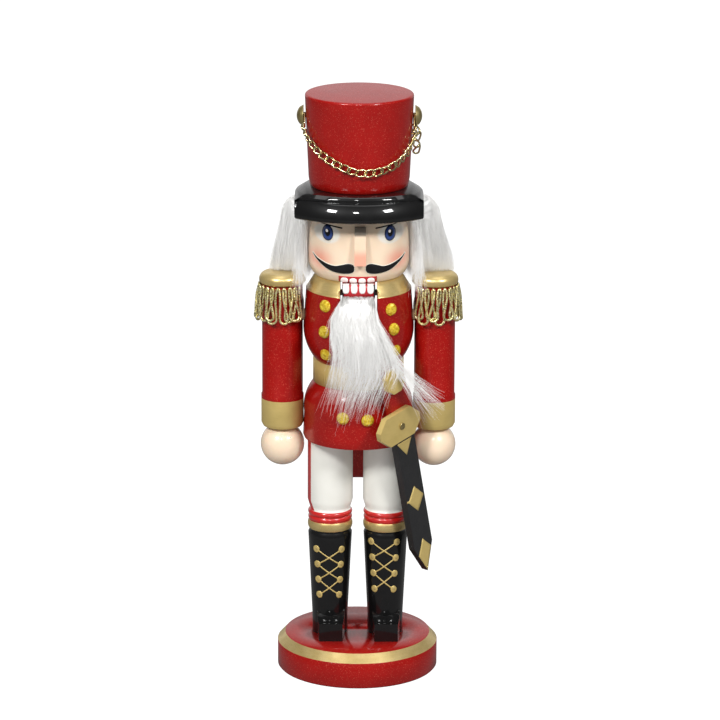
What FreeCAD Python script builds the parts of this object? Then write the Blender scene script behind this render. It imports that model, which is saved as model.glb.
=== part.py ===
# Wooden nutcracker soldier, 12 inches tall. Millimetres, +Z up, origin at the centre of the base's
# underside. The figure looks along -Y, and its own left side is at +X.
import FreeCAD, Part
import math
import os

import Sketcher
from FreeCAD import Placement, Rotation, Vector

doc = FreeCAD.newDocument("Nutcracker")
sheet = doc.addObject("Spreadsheet::Sheet", "Sizes")

SIZES = {
    # base disc: a straight rim, a bevel and a flat top
    "baseRadius": 41.7, "baseFoot": 0.8, "baseRim": 13.6, "baseTopRadius": 37.7, "baseHeight": 17.9,
    "baseFootRadius": 41.0,
    # legs: boot, ring, two beads and trousers turned from one length
    "legSpacing": 14.4, "legTop": 124.5, "bootFootRadius": 9.25, "bootTaperHeight": 28.0,
    "bootTopRadius": 11.4, "bootShoulderHeight": 72.5, "bootNeckRadius": 10.2, "bootNeckHeight": 74.9,
    "ringRadius": 11.6, "ringTopHeight": 79.5, "beadRoot": 10.7, "beadRadius": 11.6,
    "lowerBeadHeight": 82.3, "upperBeadHeight": 85.2, "trouserFootRadius": 10.2,
    "trouserRadius": 11.75, "trouserCurveHeight": 90.5, "beadBulge": 1.7, "ringBulge": 5.0,
    "ringInset": 0.5,
    # toe blocks: a sawn wedge with a scooped top
    "toeFrontWidth": 12.2, "toeBackWidth": 14.6, "toeFrontY": -19.0, "toeBackY": -6.0,
    "toeFrontTop": 27.4, "toeBackTop": 31.5, "toeScoop": 14.0, "toeSplay": 0.6, "bootClearRadius": 9.5,
    # torso: skirt, belt, chest and collar turned from one block, sawn through for the lever
    "skirtFootRadius": 27.9, "skirtFoot": 124.5, "skirtEdgeRadius": 28.5, "skirtEdgeHeight": 126.0,
    "skirtRadius": 28.0, "skirtMiddle": 137.9, "skirtWaistRadius": 22.9, "beltFoot": 154.7,
    "skirtBulge": 21.0, "beltRadius": 23.4, "beltTop": 166.2, "waistRadius": 22.1,
    "chestRadius": 28.05, "chestMiddle": 188.0, "chestBulge": 27.0, "collarFoot": 204.0,
    "collarEdgeRadius": 27.0, "collarRadius": 26.4, "collarStep": 204.6, "collarTopRadius": 22.2,
    "collarTop": 211.4, "slotWidth": 18.9, "slotFloor": 173.0,
    # head: a turned ball with a flat cut under and on top
    "headFoot": 211.5, "headTop": 244.6, "headFootRadius": 22.6, "headRadius": 25.9,
    "headMiddle": 220.5, "headChinBulge": 11.5, "headTopRadius": 23.2, "headBrowBulge": 95.0,
    # nose: a wedge block on the face
    "noseWidth": 5.7, "noseFoot": 222.2, "noseTop": 240.8, "noseFootY": -31.0, "noseTopY": -26.2,
    "noseBackY": -20.0, "noseX": 0.7,
    # hat brim: a board, round behind and broader in front, bevelled up to the crown
    "brimFoot": 244.7, "brimHeight": 12.9, "brimSide": 32.7, "brimCornerY": -23.5,
    "brimFrontY": -36.0, "brimBevelRise": 3.3, "brimBevelRun": 5.2, "brimRound": 1.6,
    # hat crown: turned, a little wider at the top
    "crownFoot": 257.7, "crownFootRadius": 25.2, "crownLowRadius": 25.8, "crownLow": 262.0,
    "crownTopRadius": 27.7, "crownTop": 305.0, "crownEdge": 1.2, "crownFootBevel": 0.6,
    # upholstery tacks at the sides of the hat
    "tackHeight": 293.3, "tackHeadX": 29.05, "tackHeadRadius": 5.5, "tackDome": 2.8,
    "shankRadius": 0.9, "shankLength": 10.0, "shankRelief": 0.2,
    # arms: sleeve with cuff, turned, with a cap on the shoulder and a ball for a hand
    "armSpacing": 39.15, "sleeveRadius": 10.5, "sleeveTop": 206.0, "cuffFoot": 130.1,
    "cuffFootRadius": 10.0, "cuffRadius": 10.95, "cuffRound": 132.0, "cuffTop": 147.6,
    "cuffStep": 146.9, "capRadius": 11.9, "capEdgeHeight": 208.4, "capTop": 211.7,
    "capBulge": 3.6, "capFootInset": 0.7, "capEdgeDrop": 1.4, "capTopInset": 3.2,
    "handRadius": 11.3, "handCentre": 120.1,
    # fringe: a skirt of looped cord under the shoulder cap
    "fringeTop": 205.7, "fringeFoot": 187.0, "fringeTopRadius": 12.0, "fringeFootRadius": 14.2,
    "fringeInner": 10.6, "fringeFootInner": 11.2, "fringeClear": 28.8,
    # jaw lever and its pin
    "leverWidth": 16.7, "jawTop": 211.25, "jawFrontY": -25.6, "jawFoot": 190.0, "pivotY": 3.0,
    "pivotZ": 200.0, "pinRadius": 1.6, "pinHole": 1.65, "pinLength": 53.0, "pinStart": 26.5, "leverCrest": 3.0,
    "leverBackZ": 199.4, "leverBackY": 31.5, "leverShoulderZ": 192.0, "handleOuterY": 38.0,
    "handleInnerY": 29.7, "handleFoot": 91.6, "handleFootY": 36.6, "leverBelly": 183.0,
    "leverRound": 3.0, "bellyRun": 12.0, "bellyDrop": 9.0,
    # dowels
    "dowelRadius": 3.0, "dowelHole": 3.03, "dowelLength": 18.0, "neckDowelSpacing": 15.0,
    "hatDowelRadius": 5.0, "hatDowelHole": 5.03, "hatDowelFoot": 234.0, "hatDowelLength": 34.0,
    "legDowelFoot": 10.0, "hipDowelFoot": 115.5, "neckDowelFoot": 203.0, "handDowelFoot": 122.0,
    "handDowelLength": 16.0, "shoulderDowelZ": 189.0, "shoulderDowelX": 20.0,
    "shoulderDowelLength": 17.0, "capDowelFoot": 199.5, "capDowelLength": 9.5, "capDowelRadius": 2.0,
    "capDowelHole": 2.03,
    # gems: round faceted stones glued flat
    "gemRadius": 3.0, "gemTable": 1.7, "gemGirdle": 0.5, "gemHeight": 2.0, "gemGap": 0.03,
    "gemSlopeGap": 0.25,
    # sword: a lath nailed through its guard to the skirt
    "swordYaw": 46.0, "swordTilt": 13.2, "swordBack": 29.25, "lathThick": 4.2, "lathWidth": 13.4,
    "swordZ": 137.0, "swordAlong": -3.4, "lathOffset": 1.9, "lathTop": 33.0, "lathShoulder": 70.5,
    "lathTip": 85.5, "guardThick": 3.4, "guardHalfLong": 14.6, "guardHalfHigh": 7.8,
    "guardCutLong": 5.6, "guardCutHigh": 5.8, "guardX": -3.2, "guardY": 1.7, "pommelHalfWide": 6.0,
    "pommelHalfHigh": 6.2, "pommelCut": 3.2, "pommelX": -1.2, "pommelY": 26.5,
    "nailX": -2.4, "nailHead": 1.7, "nailHeadRise": 0.7, "nailRadius": 0.7, "nailLength": 14.0,
    "glueGap": 0.02,
    # hat chain
    "linkLong": 6.2, "linkWide": 3.8, "linkWire": 0.75, "linkPitch": 4.5, "chainStandOff": 2.0,
    "chainLow": 269.3, "chainLowAngle": 6.0, "chainRightPower": 1.5, "chainLeftPower": 2.1,
    "endLinkLong": 9.6, "endLinkX": 27.75, "tailEndX": 28.6, "tailX": 28.9, "shankPlay": 0.1,
    "chainRightLean": 35.0, "chainLeftLean": 55.0, "tailLinks": 4.0,
    # fur
    "hairTop": 244.4, "hairFoot": 214.2, "hairInner": 26.1, "hairFrontY": -9.0,
    "hairX": 0.8, "hairY": 5.0,
    "beardTop": 204.8, "beardFoot": 133.0,
}

for row, (alias, size) in enumerate(SIZES.items(), start=1):
    sheet.set("A%d" % row, alias)
    sheet.set("B%d" % row, str(size))
    sheet.setAlias("B%d" % row, alias)
doc.recompute()

NODES = {}          # node name -> document object


def size(name):
    """A driving dimension as a number."""
    return float(sheet.get(name))


def keep(name, thing):
    """Make an object a finished sub-part of the figure."""
    thing.Label = name
    NODES[name] = thing
    return thing


def bind(thing, **sizes):
    """Bind an object's properties to cells of the sheet; an underscore in a name stands for a point."""
    for prop, expression in sizes.items():
        thing.setExpression(prop.replace("_", "."), expression)
    return thing


def sheetExpression(text):
    """An expression on sizes, such as '-armSpacing', with each alias sent to the sheet."""
    words = text.replace("-", " - ").replace("+", " + ").split()
    return " ".join("Sizes." + word if word in SIZES else word for word in words)


def amount(text):
    """The number that a sum of sizes, such as 'headTop - headFoot', comes to."""
    total, sign = 0.0, 1.0
    for word in text.replace("-", " - ").replace("+", " + ").split():
        if word in "+-":
            sign = 1.0 if word == "+" else -1.0
        else:
            total += sign * (size(word) if word in SIZES else float(word))
    return total


def place(thing, x="0", y="0", z="0"):
    """Place an object by sums of sizes."""
    for axis, text in (("x", x), ("y", y), ("z", z)):
        if text != "0":
            thing.setExpression("Placement.Base." + axis, sheetExpression(text))
    return thing


def originPlane(body, role):
    return [f for f in body.Origin.OriginFeatures if f.Role == role][0]


def drawOutline(body, role, points, name):
    """A closed sketch through points (x sum, y sum, bulge radius alias or None up to the next point).

    A positive bulge is an arc whose centre lies to the left of the way to the next point.
    """
    sketch = body.newObject("Sketcher::SketchObject", name)
    sketch.AttachmentSupport = [(originPlane(body, role), "")]
    sketch.MapMode = "FlatFace"
    spots = [Vector(amount(x), amount(y), 0) for x, y, bulge in points]
    ends = []
    for i, (x, y, bulge) in enumerate(points):
        a, b = spots[i], spots[(i + 1) % len(spots)]
        if bulge is None:
            edge = sketch.addGeometry(Part.LineSegment(a, b), False)
            ends.append((edge, 1, 2))
            continue
        radius, chord = size(bulge.strip("-")), b - a
        side = -1 if bulge.startswith("-") else 1
        sag = radius - math.sqrt(radius ** 2 - (chord.Length / 2) ** 2)
        across = Vector(chord.y, -chord.x, 0).normalize() * (sag * side)
        edge = sketch.addGeometry(Part.Arc(a, (a + b) / 2 + across, b), False)
        first = sketch.getPoint(edge, 1)
        ends.append((edge, 1, 2) if (first - a).Length < 1e-6 else (edge, 2, 1))
        sketch.addConstraint(Sketcher.Constraint("Radius", edge, radius))
        last = "Constraints[%d]" % (sketch.ConstraintCount - 1)
        sketch.setExpression(last, sheetExpression(bulge.strip("-")))
    for i, (edge, start, end) in enumerate(ends):
        after = ends[(i + 1) % len(ends)]
        sketch.addConstraint(Sketcher.Constraint("Coincident", edge, end, after[0], after[1]))
    for (edge, start, end), (x, y, bulge), spot in zip(ends, points, spots):
        for kind, text, number in (("DistanceX", x, spot.x), ("DistanceY", y, spot.y)):
            if abs(number) < 1e-9:
                axis = -2 if kind == "DistanceX" else -1
                sketch.addConstraint(Sketcher.Constraint("PointOnObject", edge, start, axis))
                continue
            sketch.addConstraint(Sketcher.Constraint(kind, -1, 1, edge, start, number))
            sketch.setExpression("Constraints[%d]" % (sketch.ConstraintCount - 1), sheetExpression(text))
    return sketch


def turned(name, outline):
    """A body turned about its own upright axis from an outline of (radius, height, bulge)."""
    body = doc.addObject("PartDesign::Body", name + "_turning")
    sketch = drawOutline(body, "XZ_Plane", outline, name + "_outline")
    turning = body.newObject("PartDesign::Revolution", name + "_revolution")
    turning.Profile = sketch
    turning.ReferenceAxis = (sketch, ["V_Axis"])
    turning.Angle = 360
    return body


def sawn(name, role, outline, thickness, midplane=True):
    """A body cut from a board of one thickness."""
    body = doc.addObject("PartDesign::Body", name + "_board")
    sketch = drawOutline(body, role, outline, name + "_outline")
    pad = body.newObject("PartDesign::Pad", name + "_pad")
    pad.Profile = sketch
    pad.setExpression("Length", sheetExpression(thickness))
    pad.SideType = 2 if midplane else 0
    return body


def rod(name, radius, length, x="0", y="0", z="0", along="z"):
    """A round dowel, pin or drill whose foot is at x, y, z."""
    cylinder = doc.addObject("Part::Cylinder", name)
    bind(cylinder, Radius=sheetExpression(radius), Height=sheetExpression(length))
    if along == "x":
        cylinder.Placement = Placement(Vector(), Rotation(Vector(0, 1, 0), 90))
    return place(cylinder, x, y, z)


def joined(name, things):
    group = doc.addObject("Part::Compound", name)
    group.Links = things
    return group


def without(name, thing, tools):
    """A piece less its holes and slots, taken one after another."""
    for i, tool in enumerate(tools):
        cut = doc.addObject("Part::Cut", "%s_cut%d" % (name, i))
        cut.Base, cut.Tool = thing, tool
        thing = cut
    return thing


SIDES = {"left": "", "right": "-"}      # the figure's own left is at +X


# ---- base disc, with two holes for the leg dowels
baseTurning = turned("base_disc", [
    ("0", "0", None), ("baseFootRadius", "0", None), ("baseRadius", "baseFoot", None),
    ("baseRadius", "baseRim", None), ("baseTopRadius", "baseHeight", None), ("0", "baseHeight", None)])
baseHoles = [rod("base_hole_" + side, "dowelHole", "dowelLength", sign + "legSpacing", "0", "legDowelFoot")
             for side, sign in SIDES.items()]
keep("base_disc", without("base_disc", baseTurning, baseHoles))

# ---- legs
legOutline = [
    ("0", "baseHeight", None), ("bootFootRadius", "baseHeight", None),
    ("bootFootRadius", "bootTaperHeight", None), ("bootTopRadius", "bootShoulderHeight", None),
    ("bootNeckRadius", "bootNeckHeight", None), ("ringRadius - ringInset", "bootNeckHeight", "ringBulge"),
    ("ringRadius - ringInset", "ringTopHeight", None), ("beadRoot", "ringTopHeight", "beadBulge"),
    ("beadRoot", "lowerBeadHeight", "beadBulge"), ("beadRoot", "upperBeadHeight", None),
    ("trouserFootRadius", "upperBeadHeight", None), ("trouserRadius", "trouserCurveHeight", None),
    ("trouserRadius", "legTop", None), ("0", "legTop", None)]
for side, sign in SIDES.items():
    leg = place(turned(side + "_leg", legOutline), sign + "legSpacing")
    holes = [rod(side + "_ankle_hole", "dowelHole", "dowelLength", sign + "legSpacing", "0", "legDowelFoot"),
             rod(side + "_hip_hole", "dowelHole", "dowelLength", sign + "legSpacing", "0", "hipDowelFoot")]
    keep(side + "_leg", without(side + "_leg", leg, holes))
for name, foot in (("ankle_dowels", "legDowelFoot"), ("hip_dowels", "hipDowelFoot")):
    keep(name, joined(name, [rod(name + side, "dowelRadius", "dowelLength", sign + "legSpacing", "0", foot)
                             for side, sign in SIDES.items()]))

# ---- toe blocks: a side outline with a scooped top, tapered in plan and hollowed to fit the boot
toeSide = [("toeFrontY", "baseHeight", None), ("toeBackY", "baseHeight", None),
           ("toeBackY", "toeBackTop", "-toeScoop"), ("toeFrontY", "toeFrontTop", None)]
for side, sign in SIDES.items():
    x = sign + "legSpacing + toeSplay"
    wedge = place(sawn(side + "_toe", "YZ_Plane", toeSide, "toeBackWidth"), x)
    plan = doc.addObject("Part::Feature", side + "_toe_plan")
    front, back = size("toeFrontWidth") / 2, size("toeBackWidth") / 2
    corners = [Vector(-front, size("toeFrontY"), 0), Vector(front, size("toeFrontY"), 0),
               Vector(back, size("toeBackY"), 0), Vector(-back, size("toeBackY"), 0)]
    plan.Shape = Part.Face(Part.makePolygon(corners + corners[:1])).extrude(Vector(0, 0, size("legTop")))
    place(plan, x)
    tapered = doc.addObject("Part::Common", side + "_toe_tapered")
    tapered.Base, tapered.Tool = wedge, plan
    boot = rod(side + "_toe_boot", "bootClearRadius", "legTop", sign + "legSpacing")
    keep(side + "_toe_block", without(side + "_toe_block", tapered, [boot]))

# ---- torso
torsoTurning = turned("torso", [
    ("0", "skirtFoot", None), ("skirtFootRadius", "skirtFoot", None),
    ("skirtEdgeRadius", "skirtEdgeHeight", None), ("skirtRadius", "skirtMiddle", "skirtBulge"),
    ("skirtWaistRadius", "beltFoot", None), ("beltRadius", "beltFoot", None),
    ("beltRadius", "beltTop", None), ("waistRadius", "beltTop", "chestBulge"),
    ("chestRadius", "chestMiddle", None), ("collarEdgeRadius", "collarFoot", None),
    ("collarRadius", "collarStep", None), ("collarTopRadius", "collarTop", None), ("0", "collarTop", None)])
slot = bind(doc.addObject("Part::Box", "lever_slot"), Length="Sizes.slotWidth",
            Width="4 * Sizes.skirtEdgeRadius", Height="Sizes.headFoot - Sizes.slotFloor")
bind(slot, Placement_Base_x="-Sizes.slotWidth / 2", Placement_Base_y="-2 * Sizes.skirtEdgeRadius",
     Placement_Base_z="Sizes.slotFloor")
pinBore = rod("pin_bore", "pinHole", "pinLength + pinLength", "- pinLength", "pivotY", "pivotZ", "x")
torsoHoles = [slot, pinBore]
for side, sign in SIDES.items():
    torsoHoles.append(rod(side + "_hip_bore", "dowelHole", "dowelLength", sign + "legSpacing", "0",
                          "hipDowelFoot"))
    torsoHoles.append(rod(side + "_neck_bore", "dowelHole", "dowelLength", sign + "neckDowelSpacing", "0",
                          "neckDowelFoot"))
    start = "shoulderDowelX" if side == "left" else "- shoulderDowelX - shoulderDowelLength"
    torsoHoles.append(rod(side + "_shoulder_bore", "dowelHole", "shoulderDowelLength", start, "0",
                          "shoulderDowelZ", "x"))
boredTorso = without("torso", torsoTurning, torsoHoles)
keep("jaw_pivot_pin", rod("jaw_pin", "pinRadius", "pinLength", "- pinStart", "pivotY", "pivotZ", "x"))
keep("neck_dowels", joined("neck_dowels_group", [
    rod("neck_dowel_" + side, "dowelRadius", "dowelLength", sign + "neckDowelSpacing", "0", "neckDowelFoot")
    for side, sign in SIDES.items()]))

# ---- jaw lever: teeth end, sloping back and long handle, sawn from one board
leverBody = sawn("jaw_lever", "YZ_Plane", [
    ("jawFrontY", "jawFoot", None), ("handleInnerY - bellyRun", "leverBelly", None),
    ("handleInnerY", "leverBelly - bellyDrop", None), ("handleInnerY", "handleFoot", None),
    ("handleFootY", "handleFoot", None), ("handleOuterY", "leverShoulderZ", None),
    ("leverBackY", "leverBackZ", None), ("leverCrest", "jawTop", None), ("jawFrontY", "jawTop", None)],
    "leverWidth")
doc.recompute()
leverTip = leverBody.Tip
rounded = leverBody.newObject("PartDesign::Fillet", "jaw_lever_rounding")
longEdges = []
for i, edge in enumerate(leverTip.Shape.Edges, start=1):
    a, b = edge.Vertexes[0].Point, edge.Vertexes[-1].Point
    crosses = abs(abs(a.x - b.x) - size("leverWidth")) < 0.01
    if crosses and a.y > size("handleInnerY") - size("bellyRun") - 1 and a.z < size("leverBackZ") + 1:
        longEdges.append("Edge%d" % i)
rounded.Base = (leverTip, longEdges)
rounded.setExpression("Radius", "Sizes.leverRound")
leverBore = rod("lever_bore", "pinHole", "leverWidth + leverWidth", "- leverWidth", "pivotY", "pivotZ", "x")
keep("jaw_lever", without("jaw_lever", leverBody, [leverBore]))

# ---- head and nose
headTurning = turned("head", [
    ("0", "headFoot", None), ("headFootRadius", "headFoot", "headChinBulge"),
    ("headRadius", "headMiddle", "headBrowBulge"), ("headTopRadius", "headTop", None), ("0", "headTop", None)])
headHoles = [rod("head_neck_bore_" + side, "dowelHole", "dowelLength", sign + "neckDowelSpacing", "0",
                 "neckDowelFoot") for side, sign in SIDES.items()]
hatBore = rod("hat_bore", "hatDowelHole", "hatDowelLength", "0", "0", "hatDowelFoot")
keep("head", without("head", headTurning, headHoles + [hatBore]))
noseBoard = sawn("nose", "YZ_Plane", [
    ("noseFootY", "noseFoot", None), ("noseBackY", "noseFoot", None), ("noseBackY", "noseTop", None),
    ("noseTopY", "noseTop", None)], "noseWidth")
place(noseBoard, "noseX")
keep("nose", without("nose", noseBoard, [headTurning]))

# ---- hat: brim board, crown and the dowel that holds both on the head
brimBody = doc.addObject("PartDesign::Body", "hat_brim_board")
frontSag = size("brimCornerY") - size("brimFrontY")
brimArc = (size("brimSide") ** 2 + frontSag ** 2) / (2 * frontSag)
plan = brimBody.newObject("Sketcher::SketchObject", "brim_plan")
plan.AttachmentSupport = [(originPlane(brimBody, "XY_Plane"), "")]
plan.MapMode = "FlatFace"
side, cornerY, frontY = size("brimSide"), size("brimCornerY"), size("brimFrontY")
plan.addGeometry(Part.Arc(Vector(side, 0, 0), Vector(0, side, 0), Vector(-side, 0, 0)), False)
plan.addGeometry(Part.LineSegment(Vector(-side, 0, 0), Vector(-side, cornerY, 0)), False)
plan.addGeometry(Part.Arc(Vector(-side, cornerY, 0), Vector(0, frontY, 0), Vector(side, cornerY, 0)), False)
plan.addGeometry(Part.LineSegment(Vector(side, cornerY, 0), Vector(side, 0, 0)), False)
for a, aEnd, b, bEnd in ((0, 2, 1, 1), (1, 2, 2, 1), (2, 2, 3, 1), (3, 2, 0, 1)):
    plan.addConstraint(Sketcher.Constraint("Coincident", a, aEnd, b, bEnd))
plan.addConstraint(Sketcher.Constraint("Coincident", 0, 3, -1, 1))
plan.addConstraint(Sketcher.Constraint("PointOnObject", 0, 1, -1))
plan.addConstraint(Sketcher.Constraint("Vertical", 1))
plan.addConstraint(Sketcher.Constraint("Vertical", 3))
plan.addConstraint(Sketcher.Constraint("PointOnObject", 2, 3, -2))
for kind, ends, number, expression in (
        ("Radius", (0,), side, "Sizes.brimSide"),
        ("DistanceY", (-1, 1, 1, 2), cornerY, "Sizes.brimCornerY"),
        ("Radius", (2,), brimArc, "(Sizes.brimSide ^ 2 + (Sizes.brimCornerY - Sizes.brimFrontY) ^ 2)"
                                  " / (2 * (Sizes.brimCornerY - Sizes.brimFrontY))")):
    plan.addConstraint(Sketcher.Constraint(kind, *ends, number))
    plan.setExpression("Constraints[%d]" % (plan.ConstraintCount - 1), expression)
brimPad = brimBody.newObject("PartDesign::Pad", "brim_pad")
brimPad.Profile = plan
brimPad.setExpression("Length", "Sizes.brimHeight")
doc.recompute()


def edgesAt(feature, height):
    """The names of the edges that lie flat at one height."""
    return ["Edge%d" % i for i, edge in enumerate(feature.Shape.Edges, start=1)
            if abs(edge.BoundBox.ZMin - height) < 0.01 and abs(edge.BoundBox.ZMax - height) < 0.01]


brimBevel = brimBody.newObject("PartDesign::Chamfer", "brim_bevel")
brimBevel.Base = (brimPad, edgesAt(brimPad, size("brimHeight")))
brimBevel.ChamferType = "Two distances"
brimBevel.setExpression("Size", "Sizes.brimBevelRun")
brimBevel.setExpression("Size2", "Sizes.brimBevelRise")
doc.recompute()
rimHeight = size("brimHeight") - size("brimBevelRise")
if not edgesAt(brimBevel, rimHeight):
    brimBevel.FlipDirection = True
    doc.recompute()
brimRound = brimBody.newObject("PartDesign::Fillet", "brim_round")
brimRound.Base = (brimBevel, edgesAt(brimBevel, rimHeight) + edgesAt(brimBevel, 0))
brimRound.setExpression("Radius", "Sizes.brimRound")
place(brimBody, "0", "0", "brimFoot")
keep("hat_brim", without("hat_brim", brimBody, [hatBore]))

crownTurning = turned("hat_crown", [
    ("0", "crownFoot", None), ("crownFootRadius - crownFootBevel", "crownFoot", None),
    ("crownFootRadius", "crownFoot + crownFootBevel", None), ("crownLowRadius", "crownLow", None),
    ("crownTopRadius", "crownTop - crownEdge", "crownEdge"),
    ("crownTopRadius - crownEdge", "crownTop", None), ("0", "crownTop", None)])
tackBores = []
for side, sign in SIDES.items():
    start = "tackHeadX - shankLength" if side == "left" else "- tackHeadX"
    tackBores.append(rod(side + "_tack_bore", "shankRadius", "shankLength", start, "0", "tackHeight", "x"))
keep("hat_crown", without("hat_crown", crownTurning, [hatBore] + tackBores))
keep("hat_dowel", rod("hat_peg", "hatDowelRadius", "hatDowelLength", "0", "0", "hatDowelFoot"))

# ---- tacks: a domed head on a shank, turned upright and laid along X
domeRise, domeReach = size("tackDome"), size("tackHeadRadius")
for side, sign in SIDES.items():
    tack = doc.addObject("Part::Feature", side + "_hat_tack_shape")
    radius = (domeReach ** 2 + domeRise ** 2) / (2 * domeRise)
    ball = Part.makeSphere(radius, Vector(0, 0, domeRise - radius))
    dome = ball.common(Part.makeCylinder(domeReach + 1, domeRise + 1))
    shank = Part.makeCylinder(size("shankRadius"), size("shankLength") - size("shankRelief"), Vector(),
                              Vector(0, 0, -1))
    tack.Shape = dome.fuse(shank)
    turn = 90 if side == "left" else -90
    tack.Placement = Placement(Vector(amount(sign + "tackHeadX"), 0, size("tackHeight")),
                               Rotation(Vector(0, 1, 0), turn))
    keep(side + "_hat_tack", tack)

# ---- arms, shoulder caps, hands and fringes
armOutline = [
    ("0", "cuffFoot", None), ("cuffFootRadius", "cuffFoot", None), ("cuffRadius", "cuffRound", None),
    ("cuffRadius", "cuffStep", None), ("sleeveRadius", "cuffTop", None), ("sleeveRadius", "sleeveTop", None),
    ("0", "sleeveTop", None)]
capOutline = [
    ("0", "sleeveTop", None), ("capRadius - capFootInset", "sleeveTop", None),
    ("capRadius", "capEdgeHeight - capEdgeDrop", None), ("capRadius", "capEdgeHeight", "capBulge"),
    ("capRadius - capTopInset", "capTop", None),
    ("0", "capTop", None)]
for side, sign in SIDES.items():
    x = sign + "armSpacing"
    start = "shoulderDowelX" if side == "left" else "- shoulderDowelX - shoulderDowelLength"
    shoulderBore = rod(side + "_sleeve_bore", "dowelHole", "shoulderDowelLength", start, "0",
                       "shoulderDowelZ", "x")
    handBore = rod(side + "_wrist_bore", "dowelHole", "handDowelLength", x, "0", "handDowelFoot")
    capBore = rod(side + "_cap_bore", "capDowelHole", "capDowelLength", x, "0", "capDowelFoot")
    arm = place(turned(side + "_arm", armOutline), x)
    keep(side + "_arm", without(side + "_arm", arm, [shoulderBore, handBore, capBore]))
    cap = place(turned(side + "_cap", capOutline), x)
    keep(side + "_shoulder_cap", without(side + "_shoulder_cap", cap, [capBore]))
    ball = bind(doc.addObject("Part::Sphere", side + "_hand_ball"), Radius="Sizes.handRadius")
    place(ball, x, "0", "handCentre")
    wristFlat = rod(side + "_wrist_flat", "handRadius", "handRadius", x, "0", "cuffFoot")
    keep(side + "_hand", without(side + "_hand", ball, [wristFlat, handBore]))
    fringe = place(turned(side + "_fringe_ring", [
        ("fringeInner", "fringeTop", None), ("fringeFootInner", "fringeFoot", None),
        ("fringeFootRadius", "fringeFoot", None), ("fringeTopRadius", "fringeTop", None)]), x)
    chest = rod(side + "_fringe_gap", "fringeClear", "fringeTop", "0", "0", "0")
    keep(side + "_fringe", without(side + "_fringe", fringe, [chest]))
keep("shoulder_dowels", joined("shoulder_dowels_group", [
    rod("shoulder_dowel_left", "dowelRadius", "shoulderDowelLength", "shoulderDowelX", "0",
        "shoulderDowelZ", "x"),
    rod("shoulder_dowel_right", "dowelRadius", "shoulderDowelLength",
        "- shoulderDowelX - shoulderDowelLength", "0", "shoulderDowelZ", "x")]))
for name, radius, length, foot in (("wrist_dowels", "dowelRadius", "handDowelLength", "handDowelFoot"),
                                   ("cap_dowels", "capDowelRadius", "capDowelLength", "capDowelFoot")):
    keep(name, joined(name + "_group", [rod(name + side, radius, length, sign + "armSpacing", "0", foot)
                                        for side, sign in SIDES.items()]))

# ---- gems, glued flat on the coat: azimuth from the front in degrees, height and the coat's radius there
GEMS = {"coat_gem_right_top": (-38.4, 198.9), "coat_gem_right_middle": (-38.2, 185.5),
        "coat_gem_right_bottom": (-38.6, 173.3), "coat_gem_left_top": (36.9, 197.5),
        "coat_gem_left_middle": (39.5, 187.0), "coat_gem_left_bottom": (43.2, 175.3),
        "skirt_gem_right": (-16.4, 141.2), "skirt_gem_left": (10.0, 140.4)}


def coatAt(height):
    """The torso's radius and its slope (radius per height) at one height."""
    rays = []
    for z in (height - 0.5, height + 0.5):
        line = Part.makeLine(Vector(-80, 0.01, z), Vector(0, 0.01, z))
        cut = torsoTurning.Shape.common(line)
        rays.append(-cut.BoundBox.XMin)
    return (rays[0] + rays[1]) / 2, rays[1] - rays[0]


doc.recompute()
for name, (azimuth, height) in GEMS.items():
    radius, slope = coatAt(height)
    stone = doc.addObject("Part::Feature", name + "_stone")
    girdle = Part.makeCylinder(size("gemRadius"), size("gemGirdle"))
    top = Part.makeCone(size("gemRadius"), size("gemTable"), size("gemHeight") - size("gemGirdle"),
                        Vector(0, 0, size("gemGirdle")))
    stone.Shape = girdle.fuse(top).removeSplitter()
    turn = math.radians(azimuth)
    level = Vector(math.sin(turn), -math.cos(turn), 0)
    facing = Vector(level.x, level.y, -slope).normalize()
    edgeGap = size("gemGap") + abs(slope) * size("gemSlopeGap")
    stone.Placement = Placement(level * radius + Vector(0, 0, height) + facing * edgeGap,
                                Rotation(Vector(0, 0, 1), facing))
    keep(name, stone)

# ---- sword: a pointed lath, with the guard and pommel glued in front of it
yaw, tilt = math.radians(size("swordYaw")), size("swordTilt")
outwards = Vector(math.sin(yaw), -math.cos(yaw), 0)
sideways = Vector(math.cos(yaw), math.sin(yaw), 0)


def swordPlace(depth):
    """The placement of a board drawn in x (across) and y (up the sword), its back at a depth from the axis."""
    turn = Rotation(sideways, Vector(0, 0, 1), outwards, "ZXY")
    lean = Rotation(Vector(0, 0, 1), tilt)
    spot = outwards * depth + sideways * size("swordAlong") + Vector(0, 0, size("swordZ"))
    return Placement(spot, turn.multiply(lean))


def swordPiece(name, outline, thickness, depth):
    board = sawn(name, "XY_Plane", outline, thickness, midplane=False)
    board.Placement = swordPlace(depth)
    return board


lathLeft, lathRight = size("lathOffset") - size("lathWidth") / 2, size("lathOffset") + size("lathWidth") / 2
lath = swordPiece("sword_lath", [
    (str(lathLeft), "lathTop", None), (str(lathLeft), "- lathShoulder", None),
    ("lathOffset", "- lathTip", None), (str(lathRight), "- lathShoulder", None),
    (str(lathRight), "lathTop", None)], "lathThick", size("swordBack"))
front = size("swordBack") + size("lathThick")


def plate(name, longHalf, highHalf, cutLong, cutHigh, x, y, depth):
    """An octagonal plate: its half sizes, the cuts at its corners and its centre on the lath."""
    corners = []
    for sx, sy, order in ((-1, 1, 0), (-1, -1, 1), (1, -1, 0), (1, 1, 1)):
        sideX = "%s %s %s" % (x, "-" if sx < 0 else "+", longHalf)
        sideY = "%s %s %s" % (y, "-" if sy < 0 else "+", highHalf)
        ends = [(sideX + (" + " if sx < 0 else " - ") + cutLong, sideY),
                (sideX, sideY + (" - " if sy > 0 else " + ") + cutHigh)]
        corners += ends if order == 0 else ends[::-1]
    return swordPiece(name, [(a, b, None) for a, b in corners], "guardThick", depth)


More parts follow.
